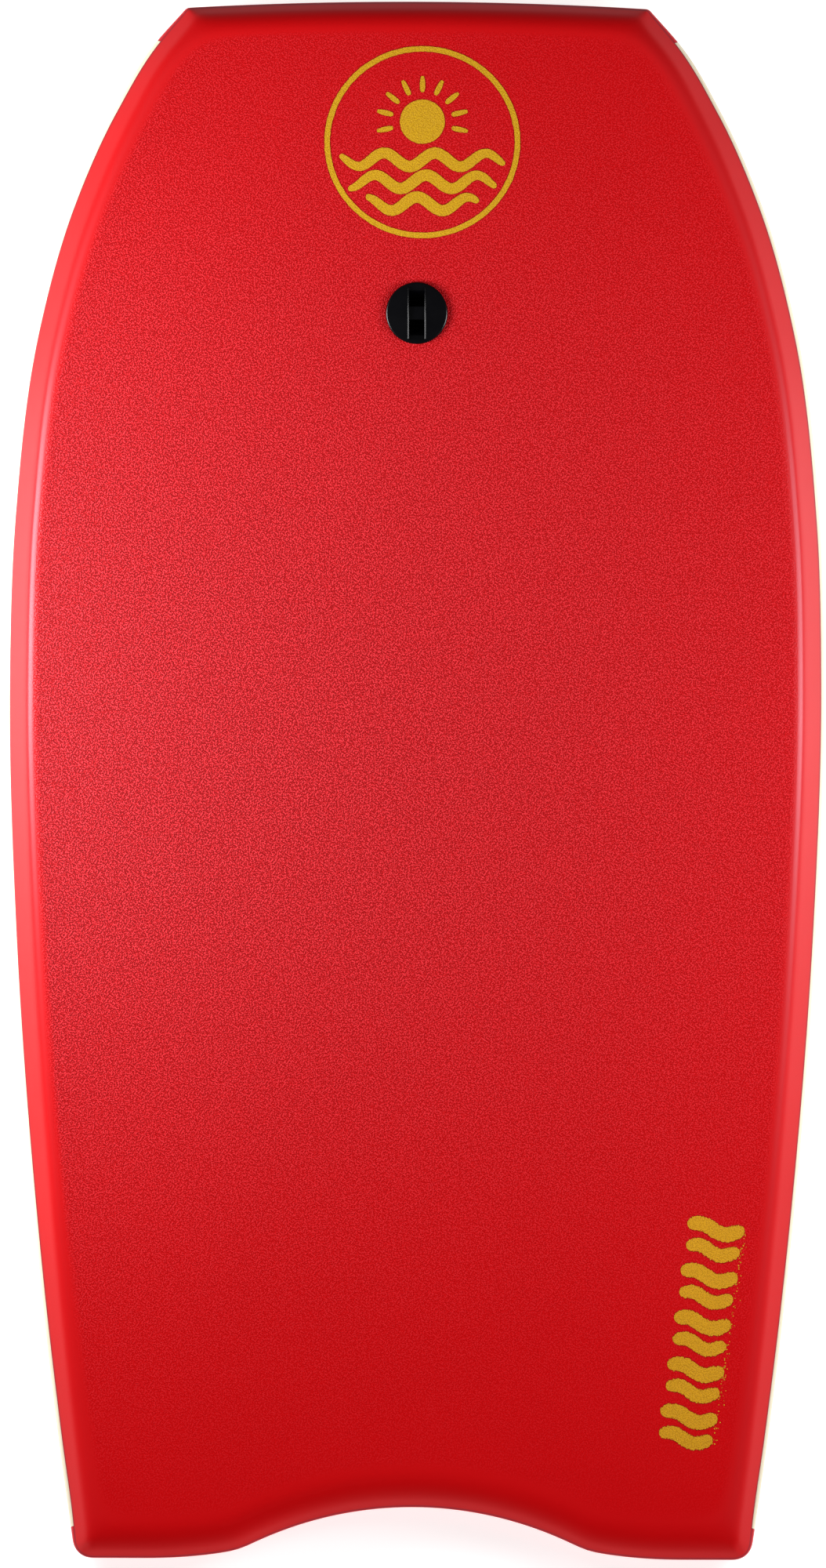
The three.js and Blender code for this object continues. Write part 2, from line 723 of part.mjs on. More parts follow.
function railStops(v) {
  const between = ALONG.filter((u) => u > TAIL_JOINT && u < NOSE_JOINT);
  const stops = sideStops(v, [TAIL_JOINT + HALF_GAP, ...between, NOSE_JOINT - HALF_GAP]);
  return v > 0 ? stops : stops.reverse();
}

function noseBumper() {
  const joint = NOSE_JOINT + HALF_GAP;
  return edgeStrip([
    { u: joint, v: 1 },
    ...noseRightCorner,
    ...noseStops,
    ...noseLeftCorner,
    { u: joint, v: -1 },
  ]);
}

function tailBumper() {
  const joint = TAIL_JOINT - HALF_GAP;
  return edgeStrip([
    { u: joint, v: -1 },
    ...tailLeftCorner,
    ...tailStops,
    ...tailRightCorner,
    { u: joint, v: 1 },
  ]);
}

// ---------------------------------------------------------------- materials

const foam = (color) => new THREE.MeshStandardMaterial({ color, roughness: 0.7, metalness: 0 });
const plastic = (color, roughness) => new THREE.MeshStandardMaterial({ color, roughness, metalness: 0 });

const WHITE_BEAD = "#f2f2ee";
const RED = "#cf1b22";
const CREAM = "#f3e6c8";
const LINER_GREY = "#d9d9d6";
const SLICK_CREAM = "#f0eadc";
const BLACK = "#121214";

// ---------------------------------------------------------------- assembly

function named(name, geometry, material) {
  const mesh = new THREE.Mesh(geometry, material);
  mesh.name = name;
  return mesh;
}

const plug = new THREE.Group();
plug.position.setFromMatrixPosition(plugPlace);
plug.rotation.x = plugTilt;
plug.add(
  named("leash_plug_top", leashPlugTop(), plastic(BLACK, 0.35)),
  named("leash_plug_bottom", leashPlugBottom(), plastic(BLACK, 0.35)),
);

const bodyboard = new THREE.Group();
bodyboard.add(
  named("foam_core", foamCore(), foam(WHITE_BEAD)),
  named("deck_skin", deckSkin(), foam(RED)),
  named("rail_left", edgeStrip(railStops(-1)), foam(CREAM)),
  named("rail_right", edgeStrip(railStops(1)), foam(CREAM)),
  named("nose_bumper", noseBumper(), foam(RED)),
  named("tail_bumper", tailBumper(), foam(RED)),
  named("bottom_liner", sheetPiece(LINER_BOTTOM, LINER_TOP), foam(LINER_GREY)),
  named("slick_bottom", sheetPiece(0, SLICK), plastic(SLICK_CREAM, 0.3)),
  plug,
);

export default bodyboard;
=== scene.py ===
"""The looks of a bodyboard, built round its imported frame.

Shapes are worked out in millimetres in the frame's own axes: +Y to the nose, +X to the rider's right,
+Z up out of the deck. make_piece() turns them into metres.
"""

import math
from collections import namedtuple

import bmesh
import bpy
import numpy as np
from mathutils import Euler, Matrix, Vector


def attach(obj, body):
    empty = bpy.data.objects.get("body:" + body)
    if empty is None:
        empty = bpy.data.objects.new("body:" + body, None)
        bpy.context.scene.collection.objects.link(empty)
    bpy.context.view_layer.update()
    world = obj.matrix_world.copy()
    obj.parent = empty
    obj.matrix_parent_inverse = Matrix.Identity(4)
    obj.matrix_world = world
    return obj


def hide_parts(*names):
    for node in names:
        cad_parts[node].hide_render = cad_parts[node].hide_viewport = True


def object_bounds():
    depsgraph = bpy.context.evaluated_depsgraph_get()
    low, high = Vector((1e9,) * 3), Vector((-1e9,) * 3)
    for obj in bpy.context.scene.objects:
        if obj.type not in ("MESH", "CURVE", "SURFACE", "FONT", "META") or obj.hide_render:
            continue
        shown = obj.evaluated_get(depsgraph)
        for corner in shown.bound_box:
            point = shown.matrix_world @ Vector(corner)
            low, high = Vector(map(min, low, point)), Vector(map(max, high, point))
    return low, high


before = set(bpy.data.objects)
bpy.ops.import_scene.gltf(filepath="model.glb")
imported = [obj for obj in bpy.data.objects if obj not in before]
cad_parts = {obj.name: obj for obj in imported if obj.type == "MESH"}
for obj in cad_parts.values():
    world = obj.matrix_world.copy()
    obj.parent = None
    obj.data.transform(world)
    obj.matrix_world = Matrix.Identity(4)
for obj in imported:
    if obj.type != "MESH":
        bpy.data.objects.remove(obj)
cad_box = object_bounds()

MM = 0.001

# ---------------------------------------------------------------- driving dimensions

TAIL_Y = cad_box[0].y / MM
NOSE_Y = cad_box[1].y / MM
LENGTH = NOSE_Y - TAIL_Y

# Half the width, against the distance behind the nose.
RAIL_LINE = (
    (4, 154), (30, 177), (72, 202.5), (134, 230.4), (218, 254.3), (344, 270.3),
    (455, 273.8), (617, 269.1), (785, 257), (953, 238.6), (LENGTH, 226),
)
NOSE_BOW_RADIUS = 2690
CRESCENT_DEPTH = 34.6
CRESCENT_RADIUS = 246
CRESCENT_BLEND = 2
LOBE_INNER_X = 116
LOBE_FLAT_X = 178
LOBE_RISE = 5.5

NOSE_LIFT = 32
NOSE_LIFT_START = 100
TAIL_LIFT = 5
TAIL_LIFT_START = -370
THICKNESS_LINE = ((TAIL_Y, 46), (-300, 52), (0, 54), (300, 48), (NOSE_Y, 38))
DECK_CROWN = 4

CHANNEL_DEPTH = 4
CHANNEL_INSIDE = (0.47, 0.53)  # shares of the half width where a channel's wall begins and ends
CHANNEL_OUTSIDE = (0.62, 0.68)
CHANNEL_FRONT = -270
CHANNEL_REAR = -480
CHANNEL_RUN_OUT = 70

GAP = 0.3
SKIN = 4
EDGE_STRIP = 4
SLICK = 1.2
STRIP_INNER_Z = 4.6  # where the edge strips' tucked edge meets the core, above the underside
SEAM = 0.55  # height of the deck skin's lower edge, as a share of the thickness

# Along the sides, against y: how far in the bevel starts, its rounding, and the cream strip's lip.
BEVEL_LINE = ((TAIL_Y, 13), (-420, 14), (-150, 15), (250, 15), (430, 15.5), (NOSE_Y, 13.5))
BEVEL_ROUND_LINE = ((TAIL_Y, 14), (-420, 12), (-150, 7.5), (250, 7.5), (430, 12), (NOSE_Y, 14))
LIP_LINE = (
    (TAIL_Y, 0.8), (-497, 2.1), (-440, 2.4), (-350, 2.3), (340, 2.3), (430, 2.3), (497, 2.0), (NOSE_Y, 0.9),
)
SIDE_TUCK = 13

# How strongly the deck's grain is pressed in along the board: it dies away towards the tail.
GRAIN_LINE = (
    (TAIL_Y, 0.05), (-450, 0.17), (-330, 0.4), (-200, 0.72), (-50, 0.97), (60, 1), (200, 0.9),
    (300, 0.75), (420, 0.5), (NOSE_Y, 0.3),
)
GRAIN_LEFT_LIGHT_BIAS = 0.35  # how much deeper the grain is towards the left rail, as a share, which pales its painted crest highlights there as painted light from the left
GRAIN_FADE = (0.97, 1.25)  # shares of the bevel's reach where the grain begins and is whole
SEAM_SHADE_FADE = (0.2, 1.1)  # how far in from the skin's lower edge the painted shade along its seam ends

# How much the smooth bevels shine along the board, from 0 to 1.
GLOSS_LINE = (
    (TAIL_Y, 0.24), (-360, 0.28), (-256, 0.36), (-100, 0.6), (0, 0.85), (60, 1), (200, 0.95), (300, 0.6),
    (370, 0.5), (430, 0.4), (NOSE_Y, 0.35),
)

END_DULLNESS = 0.6  # how much less the bevels of the nose and tail shine than the sides'

Corner = namedtuple("Corner", "radius cut")
Edge = namedtuple("Edge", "bevel round lip tuck")
NOSE_CORNER = Corner(radius=5, cut=0.42)
TAIL_CORNER = Corner(radius=15, cut=0.87)
NOSE_EDGE = Edge(bevel=9, round=16, lip=0.8, tuck=10)
TAIL_EDGE = Edge(bevel=12, round=24, lip=0.8, tuck=9)
CORNER_BULGE = 2.4  # exponent of the corners' rounding in plan
MITRE_SOFTNESS = 3.5  # exponent that joins the side's bevel and the end's: less is softer

LIP_DROP = 4.5
WALL_END = 12  # height above the underside where the edge strip turns under
WALL_LEAN = 0.06  # share of the tuck that the wall leans in by there
STRIP_LOWEST = 0.6

PLUG_Y = 312.5
PLUG_TILT_SIN = 0.058287
PLUG_FLANGE_RADIUS = 20.7
PLUG_TOP = 3
DECK_HOLE_RADIUS = 17.9
SOCKET_HOLE_RADIUS = 16.7
SEAT_RADIUS = 21.1
SEAT_DEPTH = 0.5
SEAT_FADE = 7


# ---------------------------------------------------------------- curves

def smooth_line(points):
    """A smooth curve through points of (place, value), as a function of the place."""
    x, y = np.array(points, float).T
    span = np.diff(x)
    rise = np.diff(y) / span
    inner = (rise[:-1] * span[1:] + rise[1:] * span[:-1]) / (span[1:] + span[:-1])
    slope = np.concatenate([rise[:1], inner, rise[-1:]])

    def at(place):
        i = np.clip(np.searchsorted(x, place, side="right") - 1, 0, len(x) - 2)
        t = (place - x[i]) / span[i]
        u = 1 - t
        return (u * u * (1 + 2 * t) * y[i] + t * t * (3 - 2 * t) * y[i + 1]
                + u * t * span[i] * (u * slope[i] - t * slope[i + 1]))

    return at


def slope_of(line, place, step=0.5):
    return (line(place + step) - line(place - step)) / (2 * step)


def smoothstep(value, low, high):
    t = np.clip((value - low) / (high - low), 0, 1)
    return t * t * (3 - 2 * t)


rail_line = smooth_line(RAIL_LINE)
thickness = smooth_line(THICKNESS_LINE)
bevel_line = smooth_line(BEVEL_LINE)
bevel_round_line = smooth_line(BEVEL_ROUND_LINE)
lip_line = smooth_line(LIP_LINE)
grain_line = smooth_line(GRAIN_LINE)
gloss_line = smooth_line(GLOSS_LINE)


def half_width(y):
    return rail_line(NOSE_Y - y)


def nose_edge(x):
    return NOSE_Y - x * x / (2 * NOSE_BOW_RADIUS)


def tail_edge(x):
    """The back edge: a circular crescent that softly meets a lobe on each side."""
    out = np.abs(x)
    crescent = CRESCENT_DEPTH - CRESCENT_RADIUS + np.sqrt(np.maximum(CRESCENT_RADIUS**2 - out**2, 0))
    lobe = LOBE_RISE * np.clip((LOBE_FLAT_X - out) / (LOBE_FLAT_X - LOBE_INNER_X), 0, 1) ** 2
    joined = (crescent + lobe + np.hypot(crescent - lobe, CRESCENT_BLEND)) / 2
    return TAIL_Y + np.where(out > LOBE_FLAT_X, 0, joined)


def rocker(y):
    nose = np.maximum(0, (y - NOSE_LIFT_START) / (NOSE_Y - NOSE_LIFT_START))
    tail = np.maximum(0, (TAIL_LIFT_START - y) / (TAIL_LIFT_START - TAIL_Y))
    return NOSE_LIFT * nose**2 + TAIL_LIFT * tail**2


def bottom_z(x, y):
    """The underside: the rocker, with two shallow channels near the tail."""
    share = np.abs(x) / half_width(y)
    across = smoothstep(share, *CHANNEL_INSIDE) * (1 - smoothstep(share, *CHANNEL_OUTSIDE))
    front = smoothstep(CHANNEL_FRONT - y, 0, CHANNEL_RUN_OUT)
    rear = smoothstep(y - CHANNEL_REAR, 0, CHANNEL_RUN_OUT)
    return rocker(y) + CHANNEL_DEPTH * across * front * rear


def deck_z(x, y):
    """The deck before its edges fall away, a little sunken where the plug's flange pulls it down."""
    seat = SEAT_DEPTH * (1 - smoothstep(np.hypot(x, y - PLUG_Y), SEAT_RADIUS, SEAT_RADIUS + SEAT_FADE))
    return rocker(y) + thickness(y) - DECK_CROWN * (x / half_width(y)) ** 2 - seat


# ---------------------------------------------------------------- plan positions

Inset = namedtuple("Inset", "side nose tail")
NEAR = 0.02


def plan(u, v, inset):
    """The place at share u of the length and v of the half width of the outline drawn in by inset."""
    y = TAIL_Y + LENGTH * np.asarray(u, float)
    for _ in range(8):
        lean = np.hypot(1, slope_of(half_width, y))
        x = v * (half_width(y) - inset.side(y) * lean)
        back = tail_edge(x) + inset.tail * np.hypot(1, slope_of(tail_edge, x))
        y = back + (nose_edge(x) - inset.nose - back) * u
    return np.stack(np.broadcast_arrays(x, y), -1)


def round_corners(u, v, inset):
    """The same places with the outline's four corners rounded."""
    points = plan(u, v, inset)
    moved = points.copy()
    for end, corner, end_inset in ((1, NOSE_CORNER, inset.nose), (0, TAIL_CORNER, inset.tail)):
        for side in (-1, 1):
            tip = plan(end, side, inset)
            cut = corner.cut * (corner.radius - (inset.side(tip[1]) + end_inset) / 2)
            if cut <= 0:
                continue
            to_middle = (plan(end, side * (1 - NEAR), inset) - tip) / NEAR
            to_other_end = (plan(abs(end - NEAR), side, inset) - tip) / NEAR
            p = np.clip(1 - (1 - side * v) * np.linalg.norm(to_middle) / cut, 0, 1)
            q = np.clip(1 - np.abs(end - u) * np.linalg.norm(to_other_end) / cut, 0, 1)
            length = (p**CORNER_BULGE + q**CORNER_BULGE) ** (1 / CORNER_BULGE)
            kept = np.maximum(p, q) / np.maximum(length, 1e-9)
            for share, way in ((p, to_middle), (q, to_other_end)):
                unit = way / np.linalg.norm(way)
                moved += (cut * share * (1 - kept))[..., None] * unit
    return moved


def graded(total, first, growth, largest):
    """Shares of a total from 0 to 1, close together at both ends."""
    places = [0.0]
    step = first
    while places[-1] + step < total / 2:
        places.append(places[-1] + step)
        step = min(step * growth, largest)
    half = np.array(places) / total
    return np.concatenate([half, [0.5], 1 - half[::-1]])


GRADING = {"first": 0.6, "growth": 1.12, "largest": 7}
ALONG = graded(LENGTH, **GRADING)
ACROSS = 2 * graded(2 * float(half_width(0.0)), **GRADING) - 1

# ---------------------------------------------------------------- a sheet of the board's whole outline

HOLE_REACH = 38  # half the side of the square patch that is re-meshed round the plug's hole
HOLE_RINGS = 14
HOLE_CROWDING = 1.6  # over 1, the rings crowd together towards the hole


class SheetGrid:
    """Points and faces of a sheet that fills the outline drawn in by inset, with the plug's hole."""

    def __init__(self, inset, hole_radius):
        self.inset = inset
        self.u, self.v = (g.ravel() for g in np.meshgrid(ALONG, ACROSS, indexing="ij"))
        self.xy = round_corners(self.u, self.v, inset)
        rows, columns = len(ALONG), len(ACROSS)
        grid = np.arange(rows * columns).reshape(rows, columns)
        middle = plan(ALONG, 0 * ALONG, inset)[:, 1]
        i0, i1 = np.searchsorted(middle, (PLUG_Y - HOLE_REACH, PLUG_Y + HOLE_REACH))
        j0, j1 = np.searchsorted(ACROSS * half_width(PLUG_Y), (-HOLE_REACH, HOLE_REACH))
        kept = np.ones((rows - 1, columns - 1), bool)
        kept[i0:i1, j0:j1] = False
        cells = np.stack([grid[:-1, :-1], grid[:-1, 1:], grid[1:, 1:], grid[1:, :-1]], -1)[kept]
        square = self.round_of(grid[i0:i1 + 1, j0:j1 + 1])
        start = self.xy[square]
        centre = np.array([0, PLUG_Y])
        way = start - centre
        rim = centre + hole_radius * way / np.linalg.norm(way, axis=1)[:, None]
        shares = 1 - (1 - np.arange(1, HOLE_RINGS + 1) / HOLE_RINGS) ** HOLE_CROWDING
        rings = start + shares[:, None, None] * (rim - start)
        count = len(square)
        added = len(self.xy) + np.arange(HOLE_RINGS * count).reshape(-1, count)
        index = np.concatenate([square[None], added])
        nxt = np.roll(index, -1, axis=1)
        bands = np.stack([index[:-1], nxt[:-1], nxt[1:], index[1:]], -1).reshape(-1, 4)
        self.faces = np.concatenate([cells, bands])
        self.xy = np.concatenate([self.xy, rings.reshape(-1, 2)])
        inside = np.full(HOLE_RINGS * count, 0.5)
        self.u, self.v = np.concatenate([self.u, inside]), np.concatenate([self.v, 0 * inside])
        self.outline = self.round_of(grid)
        self.hole = index[-1]
        used = np.zeros(len(self.xy), bool)
        used[self.faces] = True
        self.used = used

    @staticmethod
    def round_of(grid):
        """The indices round the edge of a block of the grid, anticlockwise seen from above."""
        return np.concatenate([grid[0, :-1], grid[:-1, -1], grid[-1, :0:-1], grid[:0:-1, 0]])

    def shell(self, top, bottom, edge_rows=()):
        """Points and faces of the closed body between two layers, with rows in between at its edge."""
        layers = [top, bottom, *edge_rows]
        starts = np.cumsum([0] + [len(layer) for layer in layers])
        loops = [self.outline, *(s + np.arange(len(r)) for s, r in zip(starts[2:], edge_rows)),
                 self.outline + starts[1]]
        faces = [self.faces, self.faces[:, ::-1] + starts[1]]
        for upper, lower in zip(loops, loops[1:]):
            faces.append(band(upper, lower))
        faces.append(band(self.hole + starts[1], self.hole))
        return np.concatenate(layers), np.concatenate(faces)


def band(upper, lower, closed=True):
    """Quads between two loops of indices, whose outside is on the right of the way they run."""
    a, b = np.asarray(upper), np.asarray(lower)
    na, nb = np.roll(a, -1), np.roll(b, -1)
    quads = np.stack([a, b, nb, na], -1)
    return quads if closed else quads[:-1]


# ---------------------------------------------------------------- pieces

def new_object(name, data):
    thing = bpy.data.objects.new(name, data)
    bpy.context.scene.collection.objects.link(thing)
    return thing


def make_piece(name, points, faces, material, sharp_degrees=38):
    """A smooth-shaded mesh object from points in millimetres, riding on the board."""
    mesh = bpy.data.meshes.new(name)
    faces = [list(map(int, f)) for f in faces]
    mesh.from_pydata((np.asarray(points) * MM).tolist(), [], faces)
    mesh.validate()
    drop_loose_points(mesh)
    return finish_piece(name, mesh, material, sharp_degrees)


def drop_loose_points(mesh):
    work = bmesh.new()
    work.from_mesh(mesh)
    bmesh.ops.delete(work, geom=[v for v in work.verts if not v.link_faces], context="VERTS")
    bmesh.ops.recalc_face_normals(work, faces=work.faces)
    work.to_mesh(mesh)
    work.free()


def finish_piece(name, mesh, material, sharp_degrees=38):
    mesh.polygons.foreach_set("use_smooth", [True] * len(mesh.polygons))
    mesh.set_sharp_from_angle(angle=math.radians(sharp_degrees))
    mesh.materials.clear()
    mesh.materials.append(material)
    piece = new_object(name, mesh)
    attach(piece, "root")
    return piece


# ---------------------------------------------------------------- deck skin

skin_inset = Inset(lip_line, NOSE_EDGE.lip, TAIL_EDGE.lip)


def edge_distances(u, v):
    """How far places of the deck skin are from its side and from its nearer end."""
    x, y = plan(u, v, skin_inset).T
    side = (1 - np.abs(v)) * half_width(y) / np.hypot(1, slope_of(half_width, y))
    back = tail_edge(x)
    span = nose_edge(x) - back
    nose = (1 - u) * span
    tail = u * span / np.hypot(1, slope_of(tail_edge, x))
    return side, nose, tail


def edge_drop(distance, run, fall, rounding):
    """How far a bevelled edge has fallen at a distance in from its foot: straight, then a round turn."""
    angle = np.arctan2(fall, run)
    tangent = rounding * np.tan(angle / 2)
    left = np.clip(run + tangent - distance, 0, None)
    turn = rounding - np.sqrt(np.maximum(rounding**2 - left**2, 0))
    straight = (run - distance) * fall / run
    return np.where(distance < run - tangent * np.cos(angle), straight, turn), run + tangent


def skin_surface(u, v, xy):
    """The deck skin's outside: its height, and how much it is grained, smooth and darkened by the painted
    shade along its seam.
    """
    x, y = xy.T
    side, nose, tail = edge_distances(u, v)
    at_nose = u > 0.5
    end = np.where(at_nose, nose, tail)
    n = MITRE_SOFTNESS
    near_side = np.maximum(side, 1e-4) ** -n
    near_end = np.maximum(end, 1e-4) ** -n
    distance = (near_side + near_end) ** (-1 / n)
    weight = near_end / (near_side + near_end)
    end_run = np.where(at_nose, NOSE_EDGE.bevel - NOSE_EDGE.lip, TAIL_EDGE.bevel - TAIL_EDGE.lip)
    end_round = np.where(at_nose, NOSE_EDGE.round, TAIL_EDGE.round)
    run = (1 - weight) * (bevel_line(y) - lip_line(y)) + weight * end_run
    rounding = (1 - weight) * bevel_round_line(y) + weight * end_round
    top = deck_z(x, y)
    fall = (1 - SEAM) * (top - bottom_z(x, y)) - GAP / 2
    drop, reach = edge_drop(distance, run, fall, rounding)
    pressed = smoothstep(distance / reach, *GRAIN_FADE)
    # The deeper grain on the left gives paler painted highlights there: painted light for the brighter left
    # side.
    grain = grain_line(y) * (1 - GRAIN_LEFT_LIGHT_BIAS * x / half_width(y)) * pressed
    smooth = gloss_line(y) * (1 - pressed) * (1 - END_DULLNESS * weight)
    return top - drop, grain, smooth, 1 - smoothstep(distance, *SEAM_SHADE_FADE)


def vertex_normals(points, faces):
    corners = points[faces]
    face_normals = np.cross(corners[:, 2] - corners[:, 0], corners[:, 3] - corners[:, 1])
    normals = np.zeros_like(points)
    for k in range(4):
        np.add.at(normals, faces[:, k], face_normals)
    return normals / np.maximum(np.linalg.norm(normals, axis=1), 1e-12)[:, None]


def add_attribute(piece, name, values):
    attribute = piece.data.attributes.new(name, "FLOAT", "POINT")
    attribute.data.foreach_set("value", np.asarray(values, np.float32))


def deck_skin(material):
    """The grained foam over the deck and the upper rails, a shell that is closed underneath."""
    sheet = SheetGrid(skin_inset, DECK_HOLE_RADIUS)
    z, grain, smooth, seam_shade = skin_surface(sheet.u, sheet.v, sheet.xy)
    outside = np.column_stack([sheet.xy, z])
    inside = outside - SKIN * vertex_normals(outside, sheet.faces)
    seam = bottom_z(*sheet.xy.T) + SEAM * (deck_z(*sheet.xy.T) - bottom_z(*sheet.xy.T)) + GAP / 2
    inside[:, 2] = np.maximum(inside[:, 2], seam)
    inside[sheet.outline, 2] = seam[sheet.outline]
    rim = outside[sheet.outline]
    inward = inside[sheet.outline] - rim
    rounded = [rim + share * inward - [0, 0, drop] for share, drop in ((0.04, 0.09), (0.12, 0.13))]
    points, faces = sheet.shell(outside, inside, rounded)
    piece = make_piece("deck_foam", points, faces, material, 50)
    kept = np.concatenate([sheet.used, sheet.used, np.ones(2 * len(rim), bool)])
    for name, values in (("grain", grain), ("smooth", smooth), ("seam", seam_shade)):
        add_attribute(piece, name, np.concatenate([values, 0 * values, np.zeros(2 * len(rim))])[kept])
    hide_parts("deck_skin")


# ---------------------------------------------------------------- slick

def slick_bottom(material):
    """The hard plastic sheet on the underside."""
    tuck = SIDE_TUCK + GAP
    sheet = SheetGrid(Inset(lambda y: tuck + 0 * y, NOSE_EDGE.tuck + GAP, TAIL_EDGE.tuck + GAP),
                      SOCKET_HOLE_RADIUS)
    low = bottom_z(*sheet.xy.T)
    bottom = np.column_stack([sheet.xy, low])
    top = np.column_stack([sheet.xy, low + SLICK])
    round_row = top[sheet.outline] * 0.5 + bottom[sheet.outline] * 0.5
    points, faces = sheet.shell(top, bottom, [round_row])
    piece = make_piece("slick_sheet", points, faces, material)
    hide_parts("slick_bottom")


# ---------------------------------------------------------------- edge strips

SECTION_STEPS = 6


def strip_section():
    """The edge strip's section from the top of its lip, round its outside and back up its inside.

    Each node is (share of the lip, share of the tuck, inset, share of the thickness, height)."""
    quarter = np.radians(np.linspace(0, 90, SECTION_STEPS + 1))
    nodes = [(1 - math.sin(a), 0, 0, SEAM, -GAP / 2 - (LIP_DROP - GAP / 2) * (1 - math.cos(a)))
             for a in quarter]
    for t in (0.25, 0.5, 0.75):
        nodes.append((0, WALL_LEAN * t, 0, SEAM * (1 - t), WALL_END * t - LIP_DROP * (1 - t)))
    nodes += [(0, WALL_LEAN + (1 - WALL_LEAN) * (1 - math.cos(a)), 0, 0,
               STRIP_LOWEST + (WALL_END - STRIP_LOWEST) * (1 - math.sin(a))) for a in quarter]
    nodes += [
        (0, 1, 0, 0, STRIP_INNER_Z),
        (0, WALL_LEAN, EDGE_STRIP, 0, WALL_END + 1),
        (0, 0, EDGE_STRIP, SEAM, -LIP_DROP),
        (1, 0, 0.85 * EDGE_STRIP, SEAM, -GAP / 2),
    ]
    return nodes


def end_share(u, v):
    """0 on the board's sides and 1 on its ends, turning from one to the other round each corner."""
    side_way = np.minimum(u, 1 - u) * LENGTH
    end_way = (1 - np.abs(v)) * half_width(TAIL_Y + LENGTH * u)
    reach = np.where(u > 0.5, NOSE_CORNER.radius * NOSE_CORNER.cut, TAIL_CORNER.radius * TAIL_CORNER.cut)
    return np.clip(0.5 + (end_way - side_way) / (2 * reach), 0, 1)


def edge_strip(name, node, u, v, material):
    """A strip along the part of the outline that runs through (u, v), closed at both ends."""
    weight = end_share(u, v)
    nose = u > 0.5
    rows = []
    for lip, tuck, inwards, share, height in strip_section():
        inset = Inset(
            lambda y: lip * lip_line(y) + tuck * SIDE_TUCK + inwards,
            lip * NOSE_EDGE.lip + tuck * NOSE_EDGE.tuck + inwards,
            lip * TAIL_EDGE.lip + tuck * TAIL_EDGE.tuck + inwards,
        )
        xy = round_corners(u, v, inset)
        low = bottom_z(*xy.T)
        rows.append(np.column_stack([xy, low + share * (deck_z(*xy.T) - low) + height]))
    count = len(u)
    loops = [k * count + np.arange(count) for k in range(len(rows))]
    faces = [band(a, b, closed=False) for a, b in zip(loops, loops[1:] + loops[:1])]
    faces = [list(f) for group in faces for f in group]
    faces.append([int(loop[0]) for loop in loops])
    faces.append([int(loop[-1]) for loop in reversed(loops)])
    piece = make_piece(name, np.concatenate(rows), faces, material, 50)
    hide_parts(node)


JOINT_SHARE = 0.02  # how far from each end of the board the rail strips meet the bumpers
HALF_GAP = GAP / 2 / LENGTH


def rail_strip(side, material):
    ends = (JOINT_SHARE + HALF_GAP, 1 - JOINT_SHARE - HALF_GAP)
    u = np.concatenate([[ends[0]], ALONG[(ALONG > ends[0]) & (ALONG < ends[1])], [ends[1]]])
    u = u if side > 0 else u[::-1]
    name = "rail_right" if side > 0 else "rail_left"
    edge_strip(f"{name}_strip", name, u, np.full(len(u), float(side)), material)


def bumper_strip(end, material):
    """A bumper: in along one side, round the corner, along the end and back down the other side."""
    joint = JOINT_SHARE - HALF_GAP
    near = ALONG[ALONG < joint]
    down_side = np.concatenate([[joint], near[::-1]])
    across = ACROSS[1:-1]
    u = np.concatenate([down_side, 0 * across, down_side[::-1]])
    v = np.concatenate([np.full(len(down_side), -1.0), across, np.ones(len(down_side))])
    if end == 1:
        u, v = 1 - u, -v
    name = "nose_bumper" if end else "tail_bumper"
    edge_strip(f"{name}_strip", name, u, v, material)


# ---------------------------------------------------------------- leash plug

PLUG_SIDES = 96
PLUG_RIM_ROUND = 1.3
PLUG_BARREL = [(11.8, -28), (12.6, -27.2), (12.6, -6), (17.3, -0.4), (20.2, -0.2)]  # (radius, height)
PLUG_EDGE_ROUND = 0.35
SOCKET_GAP = 0.7  # between the plug's depth and the socket's flange
SOCKET_FLANGE = 2.2
SOCKET_FLANGE_RADIUS = 19
SOCKET_RADIUS = 16.2
SOCKET_BORE = 13.9
SOCKET_TOP = -12
COIN_SLOT_HALF_WIDTH = 1.5
COIN_SLOT_HALF_LENGTH = 12
COIN_SLOT_DEPTH = 1.2
SOCKET_EDGE_ROUND = 0.3
PLUG_SHARP_DEGREES = 30  # edges that turn by more than this stay sharp
plug_tilt = math.asin(PLUG_TILT_SIN)
plug_place = Matrix.Translation((0, PLUG_Y, float(rocker(PLUG_Y) + thickness(PLUG_Y)))) @ (
    Euler((plug_tilt, 0, 0)).to_matrix().to_4x4()
)
plug_depth = float(thickness(PLUG_Y)) * math.cos(plug_tilt)


def arc(centre, radius, start, end, steps):
    """Points of a circular arc, in degrees, as (first, second) coordinates."""
    return [(centre[0] + radius * math.cos(math.radians(a)), centre[1] + radius * math.sin(math.radians(a)))
            for a in np.linspace(start, end, steps + 1)]


def turned(profile, sides=PLUG_SIDES):
    """A closed body turned about Z from (radius, height) points that run from the bottom to the top."""
    body = bmesh.new()
    rings = []
    for radius, height in profile:
        rings.append([body.verts.new((radius * math.cos(2 * math.pi * k / sides),
                                      radius * math.sin(2 * math.pi * k / sides), height))
                      for k in range(sides)])
    for low, high in zip(rings, rings[1:]):
        for k in range(sides):
            body.faces.new((low[k], low[(k + 1) % sides], high[(k + 1) % sides], high[k]))
    body.faces.new(rings[0][::-1])
    body.faces.new(rings[-1])
    return as_object(body)


def prism(outline, half_thickness):
    """A body with a (y, z) outline, whose half thickness in x is a function of the height."""
    body = bmesh.new()
    left = [body.verts.new((-half_thickness(z), y, z)) for y, z in outline]
    right = [body.verts.new((half_thickness(z), y, z)) for y, z in outline]
    for k in range(len(outline)):
        j = (k + 1) % len(outline)
        body.faces.new((left[k], left[j], right[j], right[k]))
    body.faces.new(left[::-1])
    body.faces.new(right)
    return as_object(body)


def as_object(work):
    bmesh.ops.recalc_face_normals(work, faces=work.faces)
    mesh = bpy.data.meshes.new("work")
    work.to_mesh(mesh)
    work.free()
    return new_object("work", mesh)


